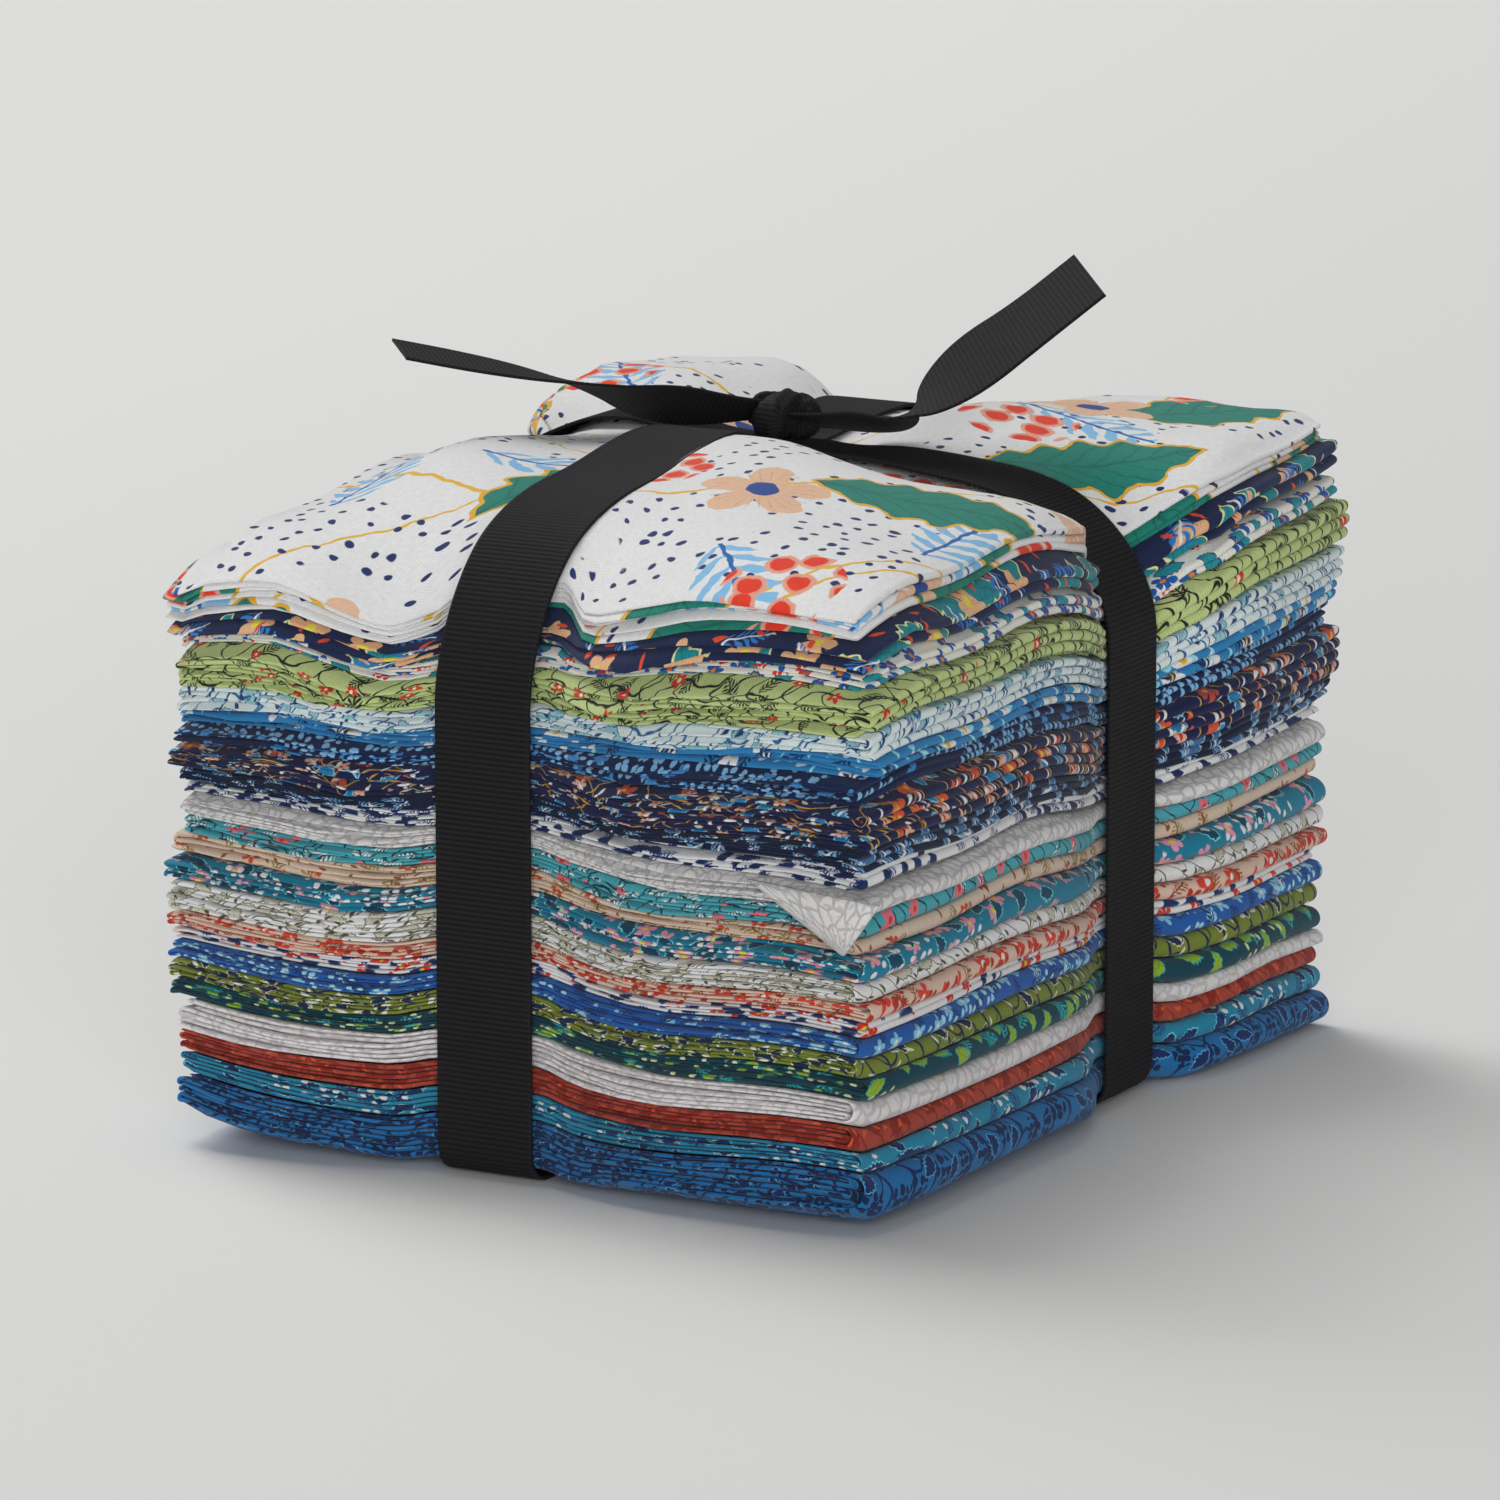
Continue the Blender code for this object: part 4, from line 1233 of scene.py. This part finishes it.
@dataclass
class Ribbon:
    """The grosgrain ribbon: two bands round the stack, the knot and the two free ends."""

    width: float = 0.022
    thick: float = 0.0007
    pitch: float = 0.0011
    clear: float = 0.0010
    corner: float = 0.006
    knot_size: tuple[float, float, float] = (0.0078, 0.0072, 0.0052)
    knot_shift: tuple[float, float] = (0.0025, 0.0010)
    across: tuple[float, ...] = (-1.0, -0.95, -0.88, 0.0, 0.88, 0.95, 1.0)

    def band_path(self, front_to_back: bool) -> np.ndarray:
        """The way of one band round the stack, as place along it and height."""
        half = (STACK.depth if front_to_back else STACK.width) / 2
        tie = STACK.tie_x if front_to_back else STACK.tie_y
        low, high = (STACK.front, STACK.back) if front_to_back else (STACK.left, STACK.right)
        wall = half - STACK.side_pull
        side = wall + 0.75 * MM + self.clear

        def top(place: np.ndarray) -> np.ndarray:
            other = np.full_like(place, tie)
            height = STACK.top(other, place) if front_to_back else STACK.top(place, other)
            return height + self.clear

        def shoulder(rim: Rim, sign: int) -> list[tuple[float, float]]:
            angle = np.linspace(0.06, math.pi / 2, 18)
            reach = rim.start + (wall - rim.start) * np.sin(angle)
            heights = top(sign * reach) - rim.drop * (1 - np.cos(angle))
            reach = rim.start + (side - rim.start) * np.sin(angle)
            return list(zip(sign * reach, heights))

        def foot(sign: int) -> list[tuple[float, float]]:
            angle = np.linspace(0, math.pi / 2, 7)
            reach = side - self.corner * (1 - np.cos(angle))
            return list(zip(sign * reach, self.thick * 1.1 + self.corner * (1 - np.sin(angle))))

        left, right = shoulder(low, -1), shoulder(high, 1)
        places = np.linspace(-low.start, high.start, 26)
        wall_left = np.linspace(self.corner + 0.004, left[-1][1] - 0.003, 14)
        wall_right = np.linspace(right[-1][1] - 0.003, self.corner + 0.004, 14)
        under = np.linspace(side - self.corner - 0.004, -side + self.corner + 0.004, 20)
        path = [*foot(-1)[::-1], *((-side, z) for z in wall_left), *left[::-1]]
        path += [*zip(places, top(places)), *right, *((side, z) for z in wall_right), *foot(1)]
        path += [(p, self.thick * 1.1) for p in under]
        return np.array(path)

    def gathered(self, points: np.ndarray) -> np.ndarray:
        """How narrow the strip is drawn together at each point near the knot."""
        away = np.linalg.norm(points - self.knot_middle(), axis=1)
        return 1 - 0.62 * np.exp(-(away / 0.026) ** 2)

    def strip(self, centre: np.ndarray, out: np.ndarray, sideways: np.ndarray) -> np.ndarray:
        """The four sides of a strip, as route points by points round its section.

        Args:
            centre: The middle of the inner face.
            out: Outward directions.
            sideways: The way of the width.

        Returns:
            The grid of points.
        """
        count = len(centre)
        phase = np.arange(count) % 3
        rib = np.where(phase == 1, 1.0, np.where(phase == 2, 0.45, 0.0))
        outer, inner = [], []
        for w in self.across:
            firm = abs(w) > 0.88
            lift = np.full(count, 0.9) if firm else 0.55 + 0.45 * rib
            rise = (lift * self.thick)[:, None]
            place = centre + sideways * (self.width / 2 * w)
            outer.append(place + out * rise)
            inner.append(place - out * (0.35 * self.thick * lift[:, None] - 0.35 * self.thick))
        return np.stack([*outer, *inner[::-1]], 1)

    def frame_along(self, points: np.ndarray, closed: bool) -> np.ndarray:
        """The direction of travel at each point of a path."""
        if closed:
            way = np.roll(points, -1, axis=0) - np.roll(points, 1, axis=0)
        else:
            way = np.gradient(points, axis=0)
        return way / np.linalg.norm(way, axis=1)[:, None]

    def band(self, front_to_back: bool) -> bpy.types.Object:
        """Make one band round the stack."""
        flat = self.band_path(front_to_back)
        path = np.stack([flat[:, 0], np.zeros(len(flat)), flat[:, 1]], -1)
        path = smooth_path(path, True, self.pitch / 3)
        path = path[:len(path) - 1 - (len(path) - 1) % 3 + 1]
        points = path[:-1]
        way = self.frame_along(points, True)
        out = np.stack([-way[:, 2], np.zeros(len(points)), way[:, 0]], -1)
        sideways = np.zeros_like(points)
        if front_to_back:
            centre = np.stack([np.full(len(points), STACK.tie_x), points[:, 0], points[:, 2]], -1)
            out = np.stack([np.zeros(len(points)), out[:, 0], out[:, 2]], -1)
            sideways[:, 0] = 1
            name = "ribbon_band_along"
        else:
            centre = np.stack([points[:, 0], np.full(len(points), STACK.tie_y), points[:, 2]], -1)
            sideways[:, 1] = 1
            upper = centre[:, 2] > 0.05
            bump = np.exp(-((points[:, 0] - STACK.tie_x) / 0.016) ** 4) * (self.thick + 0.0003)
            centre[:, 2] += np.where(upper, bump, 0)
            name = "ribbon_band_across"
        grid = self.strip(centre, out, sideways * self.gathered(centre)[:, None])
        grid = np.concatenate([grid, grid[:1]])
        u = np.arange(len(grid)) * self.pitch / 3
        return self.piece(name, grid, u)

    def piece(self, name: str, grid: np.ndarray, u: np.ndarray) -> bpy.types.Object:
        """Make a strip's piece from its points, with its loose ends closed."""
        w = np.array(self.across) * self.width / 2
        v = np.concatenate([w, w[::-1] + self.width * 1.1])
        made = grid_object(name, grid, u, v, 0.0, True)
        bpy.ops.object.select_all(action="DESELECT")
        made.select_set(True)
        bpy.context.view_layer.objects.active = made
        bpy.ops.object.mode_set(mode="EDIT")
        bpy.ops.mesh.select_all(action="SELECT")
        bpy.ops.mesh.remove_doubles(threshold=0.00001)
        bpy.ops.mesh.select_all(action="DESELECT")
        bpy.ops.mesh.select_non_manifold()
        bpy.ops.mesh.edge_face_add()
        bpy.ops.mesh.select_all(action="SELECT")
        bpy.ops.mesh.normals_make_consistent(inside=False)
        bpy.ops.object.mode_set(mode="OBJECT")
        return made

    def knot_middle(self) -> np.ndarray:
        """Where the knot sits on the crossing of the two bands."""
        crossing = float(STACK.top(np.array(STACK.tie_x), np.array(STACK.tie_y))) + 2 * self.thick + self.clear
        x, y = STACK.tie_x + self.knot_shift[0], STACK.tie_y + self.knot_shift[1]
        return np.array([x, y, crossing + self.knot_size[2] - 0.0003])

    def free_end(self, name: str, rows: tuple) -> bpy.types.Object:
        """Make one free end, from the knot outwards."""
        base = self.knot_middle()
        table = np.array([[*place, *way] for place, way in rows])
        path = smooth_path(table, False, self.pitch / 3)
        centre = base + path[:, :3]
        way = self.frame_along(centre, False)
        sideways = path[:, 3:] - way * np.sum(path[:, 3:] * way, axis=1)[:, None]
        sideways /= np.linalg.norm(sideways, axis=1)[:, None]
        out = np.cross(way, sideways)
        narrow = 0.42 + 0.58 * smooth(np.linspace(0, 1, len(centre)) / 0.35)
        grid = self.strip(centre, out, sideways * narrow[:, None])
        return self.piece(name, grid, np.arange(len(centre)) * self.pitch / 3)

    def bunched(self, centre: np.ndarray, wide: float, high: float, creases: float, around: int) -> np.ndarray:
        """A closed tube of the bunched strip, with creases along it.

        Args:
            centre: The points of its middle.
            wide: Half of its width.
            high: Half of its thickness.
            creases: How deep the creases are, as a share of the section.
            around: How many points its section has.

        Returns:
            The grid of points.
        """
        way = self.frame_along(centre, True)
        inwards = centre.mean(axis=0) - centre
        lift = -inwards + way * np.sum(inwards * way, axis=1)[:, None]
        lift /= np.linalg.norm(lift, axis=1)[:, None]
        side = np.cross(way, lift)
        phi = np.linspace(0, 2 * math.pi, around, endpoint=False)
        t = np.linspace(0, 2 * math.pi, len(centre), endpoint=False)
        crease = 1 + creases * np.cos(6 * phi[None, :] + 1.5 * np.sin(2 * t)[:, None])
        crease = crease + 0.5 * creases * np.cos(11 * phi[None, :] - 2.0 * np.sin(3 * t)[:, None])
        grid = centre[:, None, :] + side[:, None, :] * (wide * crease * np.cos(phi)[None, :])[..., None]
        return grid + lift[:, None, :] * (high * crease * np.sin(phi)[None, :])[..., None]

    def knot(self) -> bpy.types.Object:
        """Make the overhand knot: bunched turns of the strip, and one turn pulled tight over them."""
        base = self.knot_middle()
        sx, sy, sz = self.knot_size
        t = np.linspace(0, 2 * math.pi, 72, endpoint=False)
        turns = np.stack([
            0.56 * sx * (np.sin(t) + 0.55 * np.sin(2 * t)),
            0.50 * sy * (np.cos(t) - 0.55 * np.cos(2 * t)),
            0.40 * sz * -np.sin(3 * t),
        ], -1)
        t = np.linspace(0, 2 * math.pi, 56, endpoint=False)
        lean = 0.0016 * np.sin(t) + 0.0006
        wrap = np.stack([lean, -0.78 * sy * np.cos(t), 0.80 * sz * np.sin(t)], -1)
        pieces = (
            self.bunched(turns, 0.0034, 0.0024, 0.10, 28),
            self.bunched(wrap, 0.0026, 0.0014, 0.13, 24),
        )
        made = []
        for number, grid in enumerate(pieces):
            around = grid.shape[1]
            closed = base + np.concatenate([grid, grid[:1]])
            u = np.arange(len(closed)) * self.pitch * 0.9
            made.append(grid_object(f"ribbon_knot_{number}", closed, u, np.arange(around) * 0.0008, 0.0, True))
        bpy.ops.object.select_all(action="DESELECT")
        for piece in made:
            piece.select_set(True)
        bpy.context.view_layer.objects.active = made[0]
        bpy.ops.object.join()
        knot = bpy.context.active_object
        knot.name = knot.data.name = "ribbon_knot"
        bpy.ops.object.mode_set(mode="EDIT")
        bpy.ops.mesh.select_all(action="SELECT")
        bpy.ops.mesh.remove_doubles(threshold=0.000002)
        bpy.ops.mesh.normals_make_consistent(inside=False)
        bpy.ops.object.mode_set(mode="OBJECT")
        return knot

    def build(self) -> list[bpy.types.Object]:
        """Make and dress all of the ribbon.

        Returns:
            Its pieces.
        """
        left = (
            ((-0.003, -0.001, 0.001), (0.20, -0.80, 0.50)),
            ((-0.012, -0.009, 0.0015), (0.25, -0.75, 0.60)),
            ((-0.023, -0.019, 0.004), (0.35, -0.80, 0.48)),
            ((-0.032, -0.026, 0.0075), (0.50, -0.84, 0.22)),
            ((-0.042, -0.034, 0.0105), (0.60, -0.80, 0.04)),
            ((-0.053, -0.0425, 0.0135), (0.63, -0.80, -0.02)),
            ((-0.0637, -0.0511, 0.0165), (0.63, -0.80, -0.02)),
        )
        right = (
            ((0.003, 0.000, 0.000), (0.04, -0.92, 0.40)),
            ((0.011, 0.0005, 0.0000), (0.04, -0.92, 0.40)),
            ((0.020, 0.001, 0.0005), (0.08, -0.92, 0.38)),
            ((0.0265, 0.0012, 0.0012), (0.12, -0.95, 0.28)),
            ((0.0295, 0.0018, 0.0028), (0.30, -0.93, 0.10)),
            ((0.0330, 0.0036, 0.0062), (0.50, -0.84, -0.22)),
            ((0.0410, 0.0078, 0.0132), (0.62, -0.69, -0.38)),
            ((0.051, 0.0135, 0.0215), (0.65, -0.71, -0.26)),
            ((0.0625, 0.021, 0.0323), (0.65, -0.71, -0.26)),
        )
        pieces = [
            self.band(True),
            self.band(False),
            self.knot(),
            self.free_end("ribbon_end_left", left),
            self.free_end("ribbon_end_right", right),
        ]
        black = Grosgrain("ribbon_black", self.width, self.pitch).material()
        for piece in pieces:
            piece.data.materials.append(black)
            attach(piece, "root")
            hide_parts("ribbon")
        return pieces


@dataclass
class Studio:
    """The pale floor with a painted light falloff across it, the soft lights and the camera."""

    azimuth: float = 28.5
    elevation: float = 12.0
    distance: float = 1.9
    focal: float = 8914.0
    origin_px: tuple[float, float] = (764.0, 1081.0)

    def floor(self) -> None:
        """A flat round floor that reaches far behind the stack."""
        material = bpy.data.materials.new("studio_floor")
        material.use_nodes = True
        shader = material.node_tree.nodes["Principled BSDF"]
        nodes, links = material.node_tree.nodes, material.node_tree.links
        place, painted_falloff = nodes.new("ShaderNodeTexCoord"), nodes.new("ShaderNodeValToRGB")
        slant, split = nodes.new("ShaderNodeMapping"), nodes.new("ShaderNodeSeparateXYZ")
        slant.inputs["Rotation"].default_value = (0, 0, math.radians(-11))
        slant.inputs["Location"].default_value = (0.5, 0, 0)
        # Painted light falloff: the floor's colour runs from lighter on the left to darker on the right, in place of
        # the key light fading across the floor.
        painted_falloff.color_ramp.elements[0].position, painted_falloff.color_ramp.elements[1].position = 0.05, 0.78
        painted_falloff.color_ramp.elements[0].color = (0.90, 0.90, 0.885, 1)
        painted_falloff.color_ramp.elements[1].color = (0.755, 0.755, 0.745, 1)
        links.new(place.outputs["Object"], slant.inputs["Vector"])
        links.new(slant.outputs["Vector"], split.inputs["Vector"])
        links.new(split.outputs["X"], painted_falloff.inputs["Fac"])
        links.new(painted_falloff.outputs["Color"], shader.inputs["Base Color"])
        shader.inputs["Roughness"].default_value = 0.9
        shader.inputs["Specular IOR Level"].default_value = 0.1
        bpy.ops.object.select_all(action="DESELECT")
        bpy.ops.mesh.primitive_circle_add(vertices=96, radius=6.0, fill_type="NGON")
        floor = bpy.context.active_object
        floor.name = "studio_floor"
        floor.location.z = -0.0002
        floor.data.materials.append(material)

    def light(self, name: str, azimuth: float, elevation: float, spread: float, power: float) -> None:
        """Add one soft light that stands far away.

        Args:
            name: Its name.
            azimuth: Where it stands, in degrees from the -Y side towards the +X side.
            elevation: How high it stands, in degrees.
            spread: How broad it looks, in degrees.
            power: Its strength.
        """
        data = bpy.data.lights.new(name, "SUN")
        data.angle = math.radians(spread)
        data.energy = power
        lamp = bpy.data.objects.new(name, data)
        a, e = math.radians(azimuth), math.radians(elevation)
        towards = Vector((math.sin(a) * math.cos(e), -math.cos(a) * math.cos(e), math.sin(e)))
        lamp.rotation_euler = towards.to_track_quat("Z", "Y").to_euler()
        lamp.location = towards * 2
        bpy.context.scene.collection.objects.link(lamp)

    def camera(self) -> None:
        """Put the camera at the photograph's viewing angle."""
        a, e = math.radians(self.azimuth), math.radians(self.elevation)
        back = Vector((math.sin(a) * math.cos(e), -math.cos(a) * math.cos(e), math.sin(e)))
        right = Vector((math.cos(a), math.sin(a), 0))
        up = back.cross(right)
        aim = right * (-(self.origin_px[0] - 750) / self.focal * self.distance)
        aim += up * ((self.origin_px[1] - 750) / self.focal * self.distance)
        data = bpy.data.cameras.new("camera")
        data.lens = self.focal / 1500 * 36
        data.sensor_width = 36
        data.clip_end = 50
        camera = bpy.data.objects.new("camera", data)
        camera.location = aim + back * self.distance
        camera.rotation_euler = back.to_track_quat("Z", "Y").to_euler()
        bpy.context.scene.collection.objects.link(camera)
        bpy.context.scene.camera = camera

    def build(self) -> None:
        """Set up the studio."""
        self.floor()
        self.camera()
        bpy.context.scene.view_settings.view_transform = "Standard"
        self.light("key_above", -113, 82, 30, 0.52)
        self.light("key_middle", -113, 60, 30, 0.86)
        self.light("key_low", -113, 36, 30, 0.72)
        self.light("fill", 30, 12, 44, 1.80)
        world = bpy.data.worlds.new("studio_world")
        world.use_nodes = True
        background = world.node_tree.nodes["Background"]
        background.inputs["Color"].default_value = (1.0, 1.0, 1.0, 1)
        background.inputs["Strength"].default_value = 0.15
        bpy.context.scene.world = world


def main() -> None:
    """Build the studio, the quarters and the ribbon, in order."""
    logging.basicConfig(level=logging.INFO, format="%(message)s")
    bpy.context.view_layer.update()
    Studio().build()
    for index in range(len(QUARTERS)):
        quarter = FoldedQuarter(index)
        cloth = quarter.build()
        quarter.dress(cloth)
        LOG.info("%s: %d faces", cloth.name, len(cloth.data.polygons))
    for piece in Ribbon().build():
        LOG.info("%s: %d faces", piece.name, len(piece.data.polygons))


if __name__ == "__main__":
    main()
